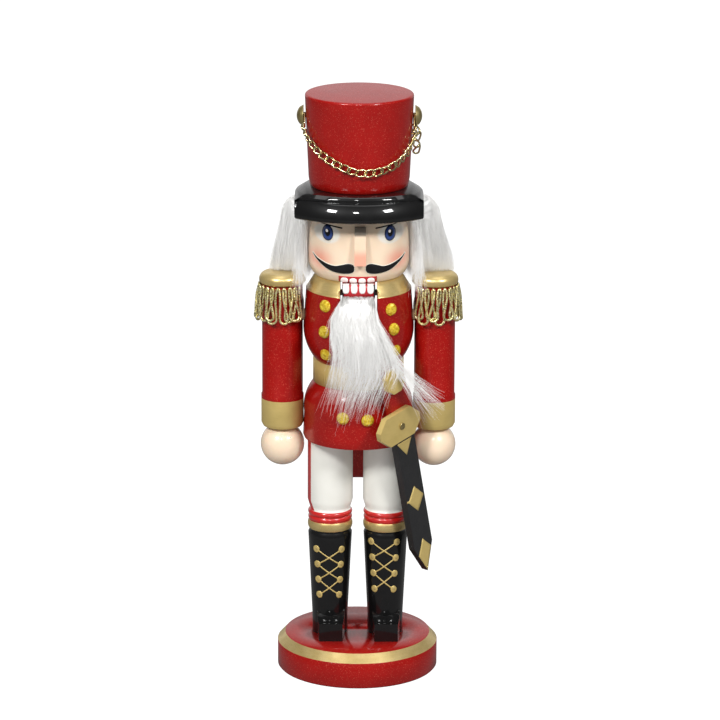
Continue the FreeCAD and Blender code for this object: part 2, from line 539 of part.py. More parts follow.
guard = plate("sword_guard", "guardHalfLong", "guardHalfHigh", "guardCutLong", "guardCutHigh",
              "guardX", "guardY", front + size("glueGap"))
pommel = plate("sword_pommel", "pommelHalfWide", "pommelHalfHigh", "pommelCut", "pommelCut",
               "pommelX", "pommelY", front + size("glueGap"))
nailSpot = swordPlace(front + 2 * size("glueGap") + size("guardThick"))
nailPoint = nailSpot.multVec(Vector(size("nailX"), size("guardY"), 0))
nail = doc.addObject("Part::Feature", "sword_nail_shape")
nailHead = Part.makeCylinder(size("nailHead"), size("nailHeadRise"))
nailShank = Part.makeCylinder(size("nailRadius"), size("nailLength"), Vector(0, 0, 0), Vector(0, 0, -1))
nail.Shape = nailHead.fuse(nailShank)
nail.Placement = Placement(nailPoint, Rotation(Vector(0, 0, 1), outwards))
keep("sword_nail", nail)
nailBore = doc.addObject("Part::Feature", "nail_bore")
nailBore.Shape = Part.makeCylinder(size("nailRadius"), size("nailLength") + 1, Vector(0, 0, 1),
                                   Vector(0, 0, -1))
nailBore.Placement = nail.Placement
keep("sword_lath", without("sword_lath", lath, [nailBore]))
keep("sword_guard", without("sword_guard", guard, [nailBore]))
keep("sword_pommel", pommel)
keep("torso", without("torso_nailed", boredTorso, [nailBore]))

# ---- hat chain: oval links, every other one turned, from tack to tack round the front, and a loose tail
wire = size("linkWire") / 2
linkBend = size("linkWide") / 2 - wire


def link(long, centre, along, flat):
    """One oval link of a length, at a centre, with its long axis and the normal of its flat given."""
    reach = long / 2 - wire - linkBend
    ring = Part.makeTorus(linkBend, wire)
    room = size("linkWide")
    half = Part.makeBox(room, 2 * room, 2 * room, Vector(0, -room, -room))
    ends = [ring.common(half).translated(Vector(reach, 0, 0)),
            ring.common(half.translated(Vector(-room, 0, 0))).translated(Vector(-reach, 0, 0))]
    bars = [Part.makeCylinder(wire, 2 * reach, Vector(-reach, side * linkBend, 0), Vector(1, 0, 0))
            for side in (-1, 1)]
    oval = ends[0].fuse(ends[1:] + bars)
    oval.Placement = Placement(centre, Rotation(along, Vector(), flat, "XZY"))
    return oval


def endLink(planeX, lean):
    """The long link on a tack's shank, leaning down from level by an angle, and where its far end is."""
    turn = math.radians(lean)
    along = Vector(0, -math.cos(turn), -math.sin(turn))
    behind = size("shankRadius") + size("shankPlay") + 2 * wire
    shank = Vector(planeX, 0, size("tackHeight"))
    far = shank + along * (size("endLinkLong") - behind - wire)
    return link(size("endLinkLong"), shank + along * (size("endLinkLong") / 2 - behind), along,
                Vector(1, 0, 0)), far


def drapePoint(angle, ends):
    """A point on the drape at an angle from the front, standing off the crown, between its two ends."""
    low = size("chainLowAngle")
    endAngle, endZ, power = ends[0] if angle < low else ends[1]
    z = size("chainLow") + (endZ - size("chainLow")) * ((angle - low) / (endAngle - low)) ** power
    along = (z - size("crownLow")) / (size("crownTop") - size("crownEdge") - size("crownLow"))
    radius = size("crownLowRadius") + along * (size("crownTopRadius") - size("crownLowRadius"))
    radius += size("chainStandOff")
    turn = math.radians(angle)
    return Vector(radius * math.sin(turn), -radius * math.cos(turn), z)


def linkCentres(ends):
    """The middles of an odd number of links, evenly spaced along the drape."""
    steps = [drapePoint(ends[0][0] + (ends[1][0] - ends[0][0]) * i / 720, ends) for i in range(721)]
    lengths = [0]
    for a, b in zip(steps, steps[1:]):
        lengths.append(lengths[-1] + (b - a).Length)
    inset = size("linkLong") / 2 - wire - linkBend
    count = 2 * round((lengths[-1] - 2 * inset) / size("linkPitch") / 2)
    centres, j = [], 0
    for k in range(count + 1):
        target = inset + (lengths[-1] - 2 * inset) * k / count
        while j < len(steps) - 2 and lengths[j + 1] < target:
            j += 1
        share = (target - lengths[j]) / (lengths[j + 1] - lengths[j])
        centres.append(steps[j] + (steps[j + 1] - steps[j]) * share)
    return centres


rightEnd, rightFar = endLink(-size("endLinkX"), size("chainRightLean"))
leftEnd, leftFar = endLink(size("endLinkX"), size("chainLeftLean"))
tailEnd, tailFar = endLink(size("tailEndX"), 90)
drapeEnds = [(math.degrees(math.atan2(far.x, -far.y)), far.z, size(power))
             for far, power in ((rightFar, "chainRightPower"), (leftFar, "chainLeftPower"))]
centres = linkCentres(drapeEnds)
links = [rightEnd, leftEnd, tailEnd]
for k, centre in enumerate(centres):
    before, after = centres[max(k - 1, 0)], centres[min(k + 1, len(centres) - 1)]
    along = (after - before).normalize()
    away = Vector(centre.x, centre.y, 0).normalize()
    away = (away - along * away.dot(along)).normalize()
    links.append(link(size("linkLong"), centre, along, away if k % 2 else along.cross(away)))
print("drape: %d links, %.2f mm apart" % (len(centres), (centres[1] - centres[0]).Length))
for k in range(int(size("tailLinks"))):
    drop = size("linkLong") / 2 - wire - linkBend + size("linkPitch") * k
    links.append(link(size("linkLong"), Vector(size("tailX"), 0, tailFar.z - drop), Vector(0, 0, -1),
                      Vector(1, 0, 0) if k % 2 else Vector(0, 1, 0)))
chain = doc.addObject("Part::Feature", "hat_chain_links")
chain.Shape = Part.makeCompound(links)
keep("hat_chain", chain)

# ---- hair: a fur wig round the sides and back of the head
def ellipseAt(x, y, z, halfWide, halfDeep):
    """A level oval outline, wider in X than in Y."""
    return Part.Wire([Part.Ellipse(Vector(x, y, z), halfWide, halfDeep).toShape()])


# share of the way down, half width, half depth
HAIR = [(0.0, 37.0, 29.0), (0.35, 41.5, 30.5), (0.7, 44.5, 31.5), (1.0, 46.5, 31.0)]
hairTop, hairFoot = size("hairTop"), size("hairFoot")
rings = [ellipseAt(size("hairX"), size("hairY"), hairTop + (hairFoot - hairTop) * share, wide, deep)
         for share, wide, deep in HAIR]
outer = Part.makeLoft(rings, True)
room = 2 * size("brimSide")
headSpace = Part.makeCylinder(size("hairInner"), room, Vector(0, 0, hairFoot - 1))
faceSpace = Part.makeBox(2 * room, room, room, Vector(-room, size("hairFrontY") - room, hairFoot - 1))
hair = doc.addObject("Part::Feature", "hair_shape")
hair.Shape = outer.cut([headSpace, faceSpace])
keep("hair", hair)

# ---- beard: a fur strip glued to the lever below the teeth
# share of the way down, middle x and y, half width, half depth
BEARD = [(0.0, -0.3, -28.6, 8.2, 2.7), (0.12, -0.3, -30.9, 8.8, 4.6), (0.25, 0.2, -33.4, 12.5, 4.4),
         (0.5, -1.5, -34.0, 11.0, 4.6), (0.75, -4.0, -33.8, 12.0, 4.0), (1.0, -5.0, -32.2, 10.5, 2.2)]
beardTop, beardFoot = size("beardTop"), size("beardFoot")
rings = [ellipseAt(x, y, beardTop + (beardFoot - beardTop) * share, wide, deep)
         for share, x, y, wide, deep in BEARD]
beard = doc.addObject("Part::Feature", "beard_shape")
beard.Shape = Part.makeLoft(rings, True)
keep("beard", beard)

# ---- check and write
doc.recompute()
for thing in doc.Objects:
    if any(word in thing.State for word in ("Invalid", "Error")):
        raise RuntimeError("%s (%s) failed: %s" % (thing.Name, thing.Label, thing.State))
os.makedirs("parts", exist_ok=True)
for name, thing in sorted(NODES.items()):
    shape = thing.Shape
    if shape.isNull() or not shape.isValid():
        raise RuntimeError(name + " has no valid shape")
    shape.exportStep("parts/%s.step" % name)
    print("%-24s %9.1f mm3 %d solid(s)" % (name, shape.Volume, len(shape.Solids)))
print(len(NODES), "nodes")
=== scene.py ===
import math
import random

import bmesh
import bpy
import numpy as np
from mathutils import Matrix, Vector
from mathutils.bvhtree import BVHTree


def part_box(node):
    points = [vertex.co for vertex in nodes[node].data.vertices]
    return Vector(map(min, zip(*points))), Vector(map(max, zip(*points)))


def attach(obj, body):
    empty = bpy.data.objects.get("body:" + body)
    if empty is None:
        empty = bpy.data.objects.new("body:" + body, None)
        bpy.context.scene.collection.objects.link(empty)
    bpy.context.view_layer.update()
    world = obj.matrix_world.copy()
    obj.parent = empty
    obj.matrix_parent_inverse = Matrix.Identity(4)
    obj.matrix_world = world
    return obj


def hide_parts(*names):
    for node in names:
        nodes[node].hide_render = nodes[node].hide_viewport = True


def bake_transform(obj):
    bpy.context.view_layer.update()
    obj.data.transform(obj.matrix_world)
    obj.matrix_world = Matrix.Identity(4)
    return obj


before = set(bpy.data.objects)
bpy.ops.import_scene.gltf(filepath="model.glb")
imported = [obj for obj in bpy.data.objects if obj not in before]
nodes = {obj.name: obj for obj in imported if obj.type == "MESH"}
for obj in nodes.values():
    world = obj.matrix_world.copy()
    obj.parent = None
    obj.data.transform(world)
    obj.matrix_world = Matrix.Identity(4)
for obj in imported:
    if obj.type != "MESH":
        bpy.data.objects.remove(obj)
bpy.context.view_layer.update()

mm = 0.001
scene = bpy.context.scene


# ---- small workshop helpers

def plug(tree, socket, value):
    if isinstance(value, bpy.types.NodeSocket):
        tree.links.new(value, socket)
    else:
        socket.default_value = value


def addNode(tree, kind, links=None, **settings):
    made = tree.nodes.new(kind)
    for key, value in settings.items():
        setattr(made, key, value)
    for key, value in (links or {}).items():
        plug(tree, made.inputs[key], value)
    return made


def sums(tree, operation, *values):
    return addNode(tree, "ShaderNodeMath", dict(enumerate(values)), operation=operation).outputs[0]


def times(tree, first, *others):
    for other in others:
        first = sums(tree, "MULTIPLY", first, other)
    return first


def plus(tree, a, b):
    return sums(tree, "ADD", a, b)


def blendColours(tree, share, a, b):
    mixed = addNode(tree, "ShaderNodeMix", data_type="RGBA")
    for index, value in ((0, share), (6, a), (7, b)):
        plug(tree, mixed.inputs[index], value)
    return mixed.outputs[2]


def rgb(red, green, blue):
    return (red, green, blue, 1.0)


def newMaterial(name, **sockets):
    material = bpy.data.materials.new(name)
    material.use_nodes = True
    tree = material.node_tree
    shader = tree.nodes["Principled BSDF"]
    for key, value in sockets.items():
        shader.inputs[key.replace("_", " ")].default_value = value
    place = addNode(tree, "ShaderNodeTexCoord").outputs["Object"]
    return material, tree, shader, place


def fineNoise(tree, place, scale, detail=2.0, stretch=None):
    if stretch:
        place = addNode(tree, "ShaderNodeMapping", {"Vector": place, "Scale": stretch}).outputs[0]
    noise = addNode(tree, "ShaderNodeTexNoise", {"Vector": place, "Scale": scale, "Detail": detail})
    return noise.outputs["Fac"]


def flecks(tree, place, sizeMm):
    # three random values for each little cell
    cells = addNode(tree, "ShaderNodeTexVoronoi", {"Vector": place, "Scale": 1 / (sizeMm * mm)})
    return addNode(tree, "ShaderNodeSeparateColor", {0: cells.outputs["Color"]}).outputs


def ramp(tree, value, low, high, start=0.0, end=1.0, kind="LINEAR"):
    return addNode(tree, "ShaderNodeMapRange", {0: value, 1: low, 2: high, 3: start, 4: end},
                   interpolation_type=kind).outputs[0]


def colourIn(tree, shader, share, low, high):
    plug(tree, shader.inputs["Base Color"], blendColours(tree, share, low, high))


def roughIn(tree, shader, value, low, high, smoothest, roughest):
    plug(tree, shader.inputs["Roughness"], ramp(tree, value, low, high, smoothest, roughest))


def addBump(tree, shader, height, distance, strength=1.0):
    bump = addNode(tree, "ShaderNodeBump", {"Height": height, "Distance": distance, "Strength": strength})
    tree.links.new(bump.outputs[0], shader.inputs["Normal"])


def dress(piece, body, slotName, material=None, replaces=()):
    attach(piece, body)
    if material:
        piece.data.materials.clear()
        piece.data.materials.append(material)
    if replaces:
        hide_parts(*replaces)
    return piece


def putMesh(name, mesh):
    piece = bpy.data.objects.new(name, mesh)
    scene.collection.objects.link(piece)
    return piece


def reshape(mesh, work):
    shape = bmesh.new()
    shape.from_mesh(mesh)
    work(shape)
    shape.to_mesh(mesh)
    shape.free()


def weld(shape):
    bmesh.ops.remove_doubles(shape, verts=shape.verts, dist=0.002 * mm)


def slicePlane(shape, spot, way):
    bmesh.ops.bisect_plane(shape, geom=shape.verts[:] + shape.edges[:] + shape.faces[:],
                           dist=0.001 * mm, plane_co=spot, plane_no=way)


def shadeSmooth(mesh, sharpAt=32):
    mesh.shade_smooth()
    mesh.set_sharp_from_angle(angle=math.radians(sharpAt))


def smoothCopy(node):
    mesh = nodes[node].data.copy()      # the CAD mesh is loose triangles, so the copy is welded
    reshape(mesh, weld)
    mesh.materials.clear()
    shadeSmooth(mesh)
    return putMesh(node + "_finished", mesh)


def cutAt(mesh, heights):
    def work(shape):
        for height in heights:
            slicePlane(shape, (0, 0, height * mm), (0, 0, 1))
    reshape(mesh, work)


def meshOf(name, points, edges=(), faces=()):
    mesh = bpy.data.meshes.new(name)    # points are in millimetres
    mesh.from_pydata([tuple(np.asarray(p) * mm) for p in points], edges, faces)
    return mesh


def paintBands(piece, bands):
    cutAt(piece.data, [top for top, material in bands[:-1]])
    for top, material in bands:         # each band reaches up to a height in millimetres
        piece.data.materials.append(material)
    tops = [top * mm for top, material in bands]
    for face in piece.data.polygons:
        height = face.center.z
        face.material_index = next(i for i, top in enumerate(tops) if height < top or i == len(tops) - 1)


# ---- finishes

redLook = {"deep": rgb(0.25, 0.002, 0.001), "bright": rgb(0.36, 0.005, 0.003),
           "flake": rgb(0.80, 0.12, 0.08), "flakeMm": 0.25, "flakeShare": 0.07, "roughness": (0.30, 0.48)}


def makeRedGlitter(name, flakeShare):
    material, tree, shader, place = newMaterial(name, Coat_Weight=0.55, Coat_Roughness=0.15,
                                                Specular_IOR_Level=0.12)
    chance = flecks(tree, place, redLook["flakeMm"])
    cloud = fineNoise(tree, place, 90.0, 3.0)
    base = blendColours(tree, cloud, redLook["deep"], redLook["bright"])
    isFlake = sums(tree, "GREATER_THAN", chance[0], 1 - flakeShare)
    shine = times(tree, isFlake, chance[1])
    colourIn(tree, shader, shine, base, redLook["flake"])
    tree.links.new(times(tree, isFlake, 0.55), shader.inputs["Metallic"])
    roughIn(tree, shader, chance[2], 0, 1, *redLook["roughness"])
    addBump(tree, shader, chance[1], 0.012 * mm, 0.5)
    return material


redGlitter = makeRedGlitter("redGlitterLacquer", redLook["flakeShare"])


def flatPaint(name, low, high, roughness=0.35, coat=0.5, scale=400.0, coatRoughness=0.1,
              grain=(1500.0, 0.01, 0.4), **sockets):
    material, tree, shader, place = newMaterial(name, Coat_Weight=coat, Roughness=roughness,
                                                Coat_Roughness=coatRoughness, **sockets)
    colourIn(tree, shader, fineNoise(tree, place, scale), low, high)
    fine, deep, strength = grain        # the grain's scale, its depth in mm and its strength
    addBump(tree, shader, fineNoise(tree, place, fine), deep * mm, strength)
    return material


glossRed = flatPaint("glossRedEnamel", rgb(0.46, 0.006, 0.006), rgb(0.6, 0.016, 0.012), 0.3, 1.0,
                     160.0, 0.05, (420.0, 0.02, 0.3))

goldLook = {"deep": rgb(0.58, 0.42, 0.15), "bright": rgb(0.80, 0.62, 0.28), "metal": 0.66,
            "streakPerMm": 1.4, "speck": 5200.0, "patch": 130.0}


def makeGold(name, deep, bright, metal, roughness, streaks=(0.12, 0.12, 1.0)):
    material, tree, shader, place = newMaterial(name, Metallic=metal, Coat_Weight=0.15, Coat_Roughness=0.2)
    streak = fineNoise(tree, place, goldLook["streakPerMm"] / mm, 3.0, streaks)
    speck = fineNoise(tree, place, goldLook["speck"], 1.0)
    patch = fineNoise(tree, place, goldLook["patch"], 2.0)
    share = plus(tree, times(tree, streak, 0.3), times(tree, patch, 0.7))
    colourIn(tree, shader, ramp(tree, share, 0.25, 0.75), deep, bright)
    roughIn(tree, shader, speck, 0.3, 0.7, roughness - 0.07, roughness + 0.09)
    addBump(tree, shader, plus(tree, streak, times(tree, speck, 0.4)), 0.03 * mm, 0.35)
    return material


goldPaint = makeGold("brushedGoldPaint", goldLook["deep"], goldLook["bright"], goldLook["metal"], 0.34)
khakiGold = makeGold("flatGoldPaint", rgb(0.58, 0.43, 0.14), rgb(0.69, 0.52, 0.19), 0.35, 0.46)
brass = makeGold("agedBrass", rgb(0.40, 0.31, 0.12), rgb(0.60, 0.49, 0.23), 0.9, 0.40, (1, 1, 1))
giltMetal = makeGold("giltChain", rgb(0.62, 0.50, 0.22), rgb(0.92, 0.80, 0.46), 1.0, 0.2, (1, 1, 1))

blackGloss, tree, shader, place = newMaterial("blackGlossLacquer", Coat_Weight=0.9, Coat_Roughness=0.05,
                                              Roughness=0.4, Specular_IOR_Level=0.1)
colourIn(tree, shader, fineNoise(tree, place, 220.0), rgb(0.003, 0.003, 0.0032), rgb(0.007, 0.007, 0.0072))
addBump(tree, shader, plus(tree, fineNoise(tree, place, 180.0),
                           times(tree, fineNoise(tree, place, 1500.0), 0.15)), 0.10 * mm, 0.3)

blackSatin, tree, shader, place = newMaterial("blackSatinPaint", Coat_Weight=0.25, Coat_Roughness=0.3)
colourIn(tree, shader, fineNoise(tree, place, 300.0), rgb(0.010, 0.010, 0.011), rgb(0.018, 0.018, 0.019))
roughIn(tree, shader, fineNoise(tree, place, 900.0), 0.3, 0.7, 0.42, 0.58)
addBump(tree, shader, fineNoise(tree, place, 1400.0, 3.0, (1, 1, 0.15)), 0.04 * mm, 0.35)

fleshLook = {"base": rgb(0.86, 0.66, 0.47), "light": rgb(0.90, 0.72, 0.55), "blush": rgb(0.87, 0.30, 0.20)}


def makeFlesh(name):
    material, tree, shader, place = newMaterial(name, Coat_Weight=0.8, Coat_Roughness=0.06, Roughness=0.34,
                                                Subsurface_Weight=0.06, Subsurface_Scale=0.6 * mm)
    mottle = fineNoise(tree, place, 120.0, 3.0)
    colour = blendColours(tree, mottle, fleshLook["base"], fleshLook["light"])
    addBump(tree, shader, fineNoise(tree, place, 700.0, 2.0), 0.02 * mm, 0.4)
    return material, tree, shader, place, colour


fleshPlain, tree, shader, place, colour = makeFlesh("fleshEnamel")
tree.links.new(colour, shader.inputs["Base Color"])


def softSpot(tree, axes, centre, radius, inner):
    far = None                          # 1 inside an oval, fading to 0 at its edge; sizes in mm
    for axis, middle, reach in zip(axes, centre, radius):
        step = sums(tree, "DIVIDE", sums(tree, "SUBTRACT", axis, middle * mm), reach * mm)
        square = times(tree, step, step)
        far = square if far is None else plus(tree, far, square)
    return ramp(tree, sums(tree, "SQRT", far), inner, 1.0, 1.0, 0.0, "SMOOTHSTEP")


# soft patches on both sides of the face: centre, radius, solid share, strength, colour. The brow patch is
# painted shade: it darkens the top of the face where the brim's shadow falls
faceLook = {"shade": rgb(0.55, 0.42, 0.29), "white": rgb(0.82, 0.80, 0.74),
            "brow": ((7.0, 238.0), (9.0, 15.0), 0.1, 0.40, "shade"),
            "cheek": ((20.2, 222.6), (9.5, 8.5), 0.0, 0.85, "blush"),
            "eyeWhite": ((16.1, 236.3), (7.6, 5.6), 0.72, 0.8, "white")}

facePaint, tree, shader, place, colour = makeFlesh("paintedFace")
x, y, z = addNode(tree, "ShaderNodeSeparateXYZ", {0: place}).outputs
mirrored = sums(tree, "ABSOLUTE", x)
isFront = sums(tree, "LESS_THAN", y, 0.0)
for patch in ("brow", "cheek", "eyeWhite"):
    centre, radius, inner, strength, tint = faceLook[patch]
    share = times(tree, softSpot(tree, (mirrored, z), centre, radius, inner), isFront, strength)
    colour = blendColours(tree, share, colour, {**fleshLook, **faceLook}[tint])
plug(tree, shader.inputs["Base Color"], colour)

noseLook = {"pink": rgb(0.84, 0.32, 0.22), "pinkTo": (226.0, 231.0), "pinkShare": 0.85,
            "grey": rgb(0.13, 0.11, 0.085), "greyFrom": (236.2, 237.4), "greyShare": 0.92,
            "shadeShare": 0.3}
nosePaint, tree, shader, place, colour = makeFlesh("paintedNose")
x, y, z = addNode(tree, "ShaderNodeSeparateXYZ", {0: place}).outputs
low, high = (height * mm for height in noseLook["pinkTo"])
pinkTip = ramp(tree, z, low, high, noseLook["pinkShare"], 0.0, "SMOOTHSTEP")
colour = blendColours(tree, noseLook["shadeShare"], colour, faceLook["shade"])
colour = blendColours(tree, pinkTip, colour, noseLook["pink"])
# the nose's top facet is painted dark grey: a painted reflection of the black brim above it
low, high = (height * mm for height in noseLook["greyFrom"])
colourIn(tree, shader, times(tree, ramp(tree, z, low, high), noseLook["greyShare"]), colour,
         noseLook["grey"])

trouserLook = {"white": rgb(0.80, 0.79, 0.72), "light": rgb(0.87, 0.86, 0.80),
               "stripe": rgb(0.5, 0.01, 0.01), "legX": 14.4, "stripeHalf": 3.0, "stripeForward": 3.2}
trousers, tree, shader, place = newMaterial("whiteTrouserEnamel", Coat_Weight=0.6, Coat_Roughness=0.1,
                                            Roughness=0.35)
x, y, z = addNode(tree, "ShaderNodeSeparateXYZ", {0: place}).outputs
outer = sums(tree, "GREATER_THAN", sums(tree, "ABSOLUTE", x), trouserLook["legX"] * mm)
wobble = times(tree, sums(tree, "SUBTRACT", fineNoise(tree, place, 90.0), 0.5), 0.7 * mm)
fromStripe = plus(tree, plus(tree, y, trouserLook["stripeForward"] * mm), wobble)
near = sums(tree, "LESS_THAN", sums(tree, "ABSOLUTE", fromStripe), trouserLook["stripeHalf"] * mm)
white = blendColours(tree, fineNoise(tree, place, 140.0), trouserLook["white"], trouserLook["light"])
colourIn(tree, shader, times(tree, outer, near), white, trouserLook["stripe"])
addBump(tree, shader, fineNoise(tree, place, 600.0), 0.02 * mm, 0.4)

stone, tree, shader, place = newMaterial("topazStone", Metallic=0.35, Roughness=0.05, Coat_Weight=1.0,
                                         Coat_Roughness=0.02)
shift = fineNoise(tree, place, 900.0, 1.0)
colourIn(tree, shader, ramp(tree, shift, 0.35, 0.65), rgb(0.66, 0.42, 0.01), rgb(1.0, 0.76, 0.07))
addBump(tree, shader, fineNoise(tree, place, 1200.0, 1.0), 0.01 * mm, 0.1)


inkBlack = flatPaint("inkBlack", rgb(0.005, 0.005, 0.006), rgb(0.013, 0.013, 0.015), 0.5, 0.15,
                     Specular_IOR_Level=0.2)
eyeBlue = flatPaint("eyeBlue", rgb(0.012, 0.035, 0.17), rgb(0.03, 0.08, 0.30))
eyeRim = flatPaint("eyeRim", rgb(0.004, 0.008, 0.05), rgb(0.012, 0.03, 0.12))
cream = flatPaint("creamLine", rgb(0.86, 0.80, 0.66), rgb(0.92, 0.87, 0.75))
# a white paint that glows a little though it is no lamp: painted light that lifts the upper teeth out of
# the mouth's shade and lights the eye glints
glowingWhite = flatPaint("glowingWhitePaint", rgb(0.90, 0.86, 0.83), rgb(0.97, 0.95, 0.93),
                       Emission_Color=rgb(0.9, 0.84, 0.82), Emission_Strength=0.3)
toothWhite = flatPaint("toothWhite", rgb(0.84, 0.80, 0.76), rgb(0.93, 0.91, 0.88))
mouthRed = flatPaint("mouthRed", rgb(0.45, 0.005, 0.012), rgb(0.6, 0.012, 0.02))
rawWood = flatPaint("beechDowel", rgb(0.50, 0.33, 0.18), rgb(0.68, 0.48, 0.28), 0.6, 0.0, 900.0)
steel = makeGold("steelPin", rgb(0.30, 0.29, 0.27), rgb(0.55, 0.54, 0.50), 1.0, 0.3, (1, 1, 1))
print("finishes mixed:", len(bpy.data.materials))


# ---- turned and sawn pieces: welded copies of the CAD shapes, painted in bands

woodwork = {
    "base_disc": ("figure", "red_paint", [(13.7, redGlitter), (17.85, goldPaint), (30, redGlitter)]),
    "torso": ("figure", "red_glitter", [(154.6, redGlitter), (166.3, khakiGold), (203.9, redGlitter),
                                        (220, goldPaint)]),
    "head": ("figure", "flesh_paint", [(300, facePaint)]),
    "nose": ("figure", "flesh_paint", [(300, nosePaint)]),
    "hat_brim": ("figure", "black_gloss", [(300, blackGloss)]),
    "hat_crown": ("figure", "red_glitter", [(400, redGlitter)]),
    "jaw_lever": ("jaw", "red_glitter", [(400, redGlitter)]),
    "sword_guard": ("figure", "gold_paint", [(400, khakiGold)]),
    "sword_pommel": ("figure", "gold_paint", [(400, khakiGold)]),
    "sword_nail": ("figure", "steel_pin", [(400, brass)])}
for side in ("left", "right"):
    woodwork[side + "_leg"] = ("figure", "trouser_white", [(74.95, blackGloss), (79.45, goldPaint),
                                                           (85.15, glossRed), (200, trousers)])
    woodwork[side + "_toe_block"] = ("figure", "black_gloss", [(100, blackGloss)])
    woodwork[side + "_arm"] = ("figure", "red_glitter", [(144.9, khakiGold), (300, redGlitter)])
    woodwork[side + "_shoulder_cap"] = ("figure", "gold_paint", [(300, goldPaint)])
    woodwork[side + "_hand"] = ("figure", "flesh_paint", [(300, fleshPlain)])
    woodwork[side + "_hat_tack"] = ("figure", "brass_tack", [(400, brass)])

finished = {}
for name, (body, slotName, bands) in woodwork.items():
    piece = smoothCopy(name)
    paintBands(piece, bands)
    finished[name] = dress(piece, body, slotName, replaces=[name])
slotShadeWalls = {"half": 9.6, "foot": 172.0}    # the sawn slot's inner walls are painted black: painted shade deep inside the slot
mesh = finished["torso"].data
mesh.materials.append(blackSatin)
for face in mesh.polygons:
    isShadedWall = abs(face.normal.x) > 0.99 and abs(face.center.x) < slotShadeWalls["half"] * mm
    if isShadedWall and face.center.z > slotShadeWalls["foot"] * mm:
        face.material_index = len(mesh.materials) - 1
for name, item in nodes.items():
    if "dowel" in name or name == "jaw_pivot_pin":
        item.data.materials.clear()
        item.data.materials.append(rawWood if "dowel" in name else steel)

tackRim = {"from": 4.3, "inwards": 0.7}
for side, sign in (("left", 1), ("right", -1)):
    piece = finished[side + "_hat_tack"]
    low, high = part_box(side + "_hat_tack")
    centreZ = (low[2] + high[2]) / 2
    for spot in piece.data.vertices:
        radius = math.hypot(spot.co.y, spot.co.z - centreZ) / mm
        if radius > tackRim["from"]:
            spot.co.x -= sign * tackRim["inwards"] * mm * min(1, radius - tackRim["from"])

brimRound = {"foot": 246.2, "top": 254.4, "inwards": 3.4, "cuts": 8}
mesh = finished["hat_brim"].data
cutAt(mesh, np.linspace(brimRound["foot"], brimRound["top"] - 0.8, brimRound["cuts"]))


def roundBrim(shape):
    shape.normal_update()
    moves = []
    for spot in shape.verts:
        share = (spot.co.z / mm - brimRound["foot"]) / (brimRound["top"] - brimRound["foot"])
        front = min(1, max(0, (-spot.normal.y - 0.2) / 0.4))
        if 0 < share < 1.12:
            moves.append((spot, front * brimRound["inwards"] * min(share, 1) ** 2))
    for spot, inwards in moves:
        spot.co.y += inwards * mm


reshape(mesh, roundBrim)
shadeSmooth(mesh)
print("woodwork finished:", len(finished))


# ---- thin paint: shapes laid on a surface and given a paint film's thickness

def treeOf(piece):
    return BVHTree.FromPolygons([v.co for v in piece.data.vertices],
                                [f.vertices for f in piece.data.polygons])


def fromFront(target, foot=0.0, head=1000.0):
    def lay(x, z, lift):                # nothing is laid lower than the foot or higher than the head
        start = Vector((x, -90, min(max(z, foot), head)))
        spot, normal, index, reach = target.ray_cast(start * mm, Vector((0, 1, 0)))
        return spot + normal * lift * mm
    return lay


def fromAbove(height):
    def lay(x, y, lift):
        return Vector((x, y, height + lift)) * mm
    return lay


def ringFaces(rings, around):
    faces = [(rings * around, k, (k + 1) % around) for k in range(around)]
    for ring in range(rings - 1):
        inner, outer = ring * around, (ring + 1) * around
        for k in range(around):
            n = (k + 1) % around
            faces.append((inner + k, outer + k, outer + n, inner + n))
    return faces


def gridFaces(columns, rows):
    wide = columns + 1
    return [(j * wide + i, j * wide + i + 1, (j + 1) * wide + i + 1, (j + 1) * wide + i)
            for j in range(rows) for i in range(columns)]


def ovalPaint(lay, centre, size, lift, power=2.0, rings=4, around=28):
    grid = []
    for ring in range(1, rings + 1):
        for k in range(around):
            angle = 2 * math.pi * k / around
            c, s = math.cos(angle), math.sin(angle)
            a = size[0] * math.copysign(abs(c) ** (2 / power), c) * ring / rings
            b = size[1] * math.copysign(abs(s) ** (2 / power), s) * ring / rings
            grid.append(lay(centre[0] + a, centre[1] + b, lift))
    return grid + [lay(*centre, lift)], ringFaces(rings, around)


def smoothLine(points, steps):
    line = []
    ends = [points[0]] + list(points) + [points[-1]]
    for i in range(1, len(ends) - 2):
        a, b, c, d = (np.array(ends[i + k]) for k in (-1, 0, 1, 2))
        for k in range(steps):
            t = k / steps
            line.append(0.5 * (2 * b + (c - a) * t + (2 * a - 5 * b + 4 * c - d) * t ** 2
                               + (3 * b - a - 3 * c + d) * t ** 3))
    return line + [np.array(points[-1], float)]


def strokePaint(lay, points, lift, steps=6, across=4, grow=0.0):
    line = smoothLine(points, steps)    # points are x, z and half width in millimetres
    grid = []
    for i, spot in enumerate(line):
        way = line[min(i + 1, len(line) - 1)][:2] - line[max(i - 1, 0)][:2]
        way = way / max(np.linalg.norm(way), 1e-9)
        side = np.array((-way[1], way[0]))
        end = (i == 0) - (i == len(line) - 1)
        for k in range(across + 1):
            reach = (2 * k / across - 1) * (max(spot[2], 0.02) + grow)
            place = spot[:2] + side * reach - way * end * grow
            grid.append(lay(place[0], place[1], lift))
    return grid, gridFaces(across, len(line) - 1)


def boxPaint(lay, low, high, lift, columns, rows):
    grid = [lay(low[0] + (high[0] - low[0]) * i / columns,
                low[1] + (high[1] - low[1]) * j / rows, lift)
            for j in range(rows + 1) for i in range(columns + 1)]
    return grid, gridFaces(columns, rows)


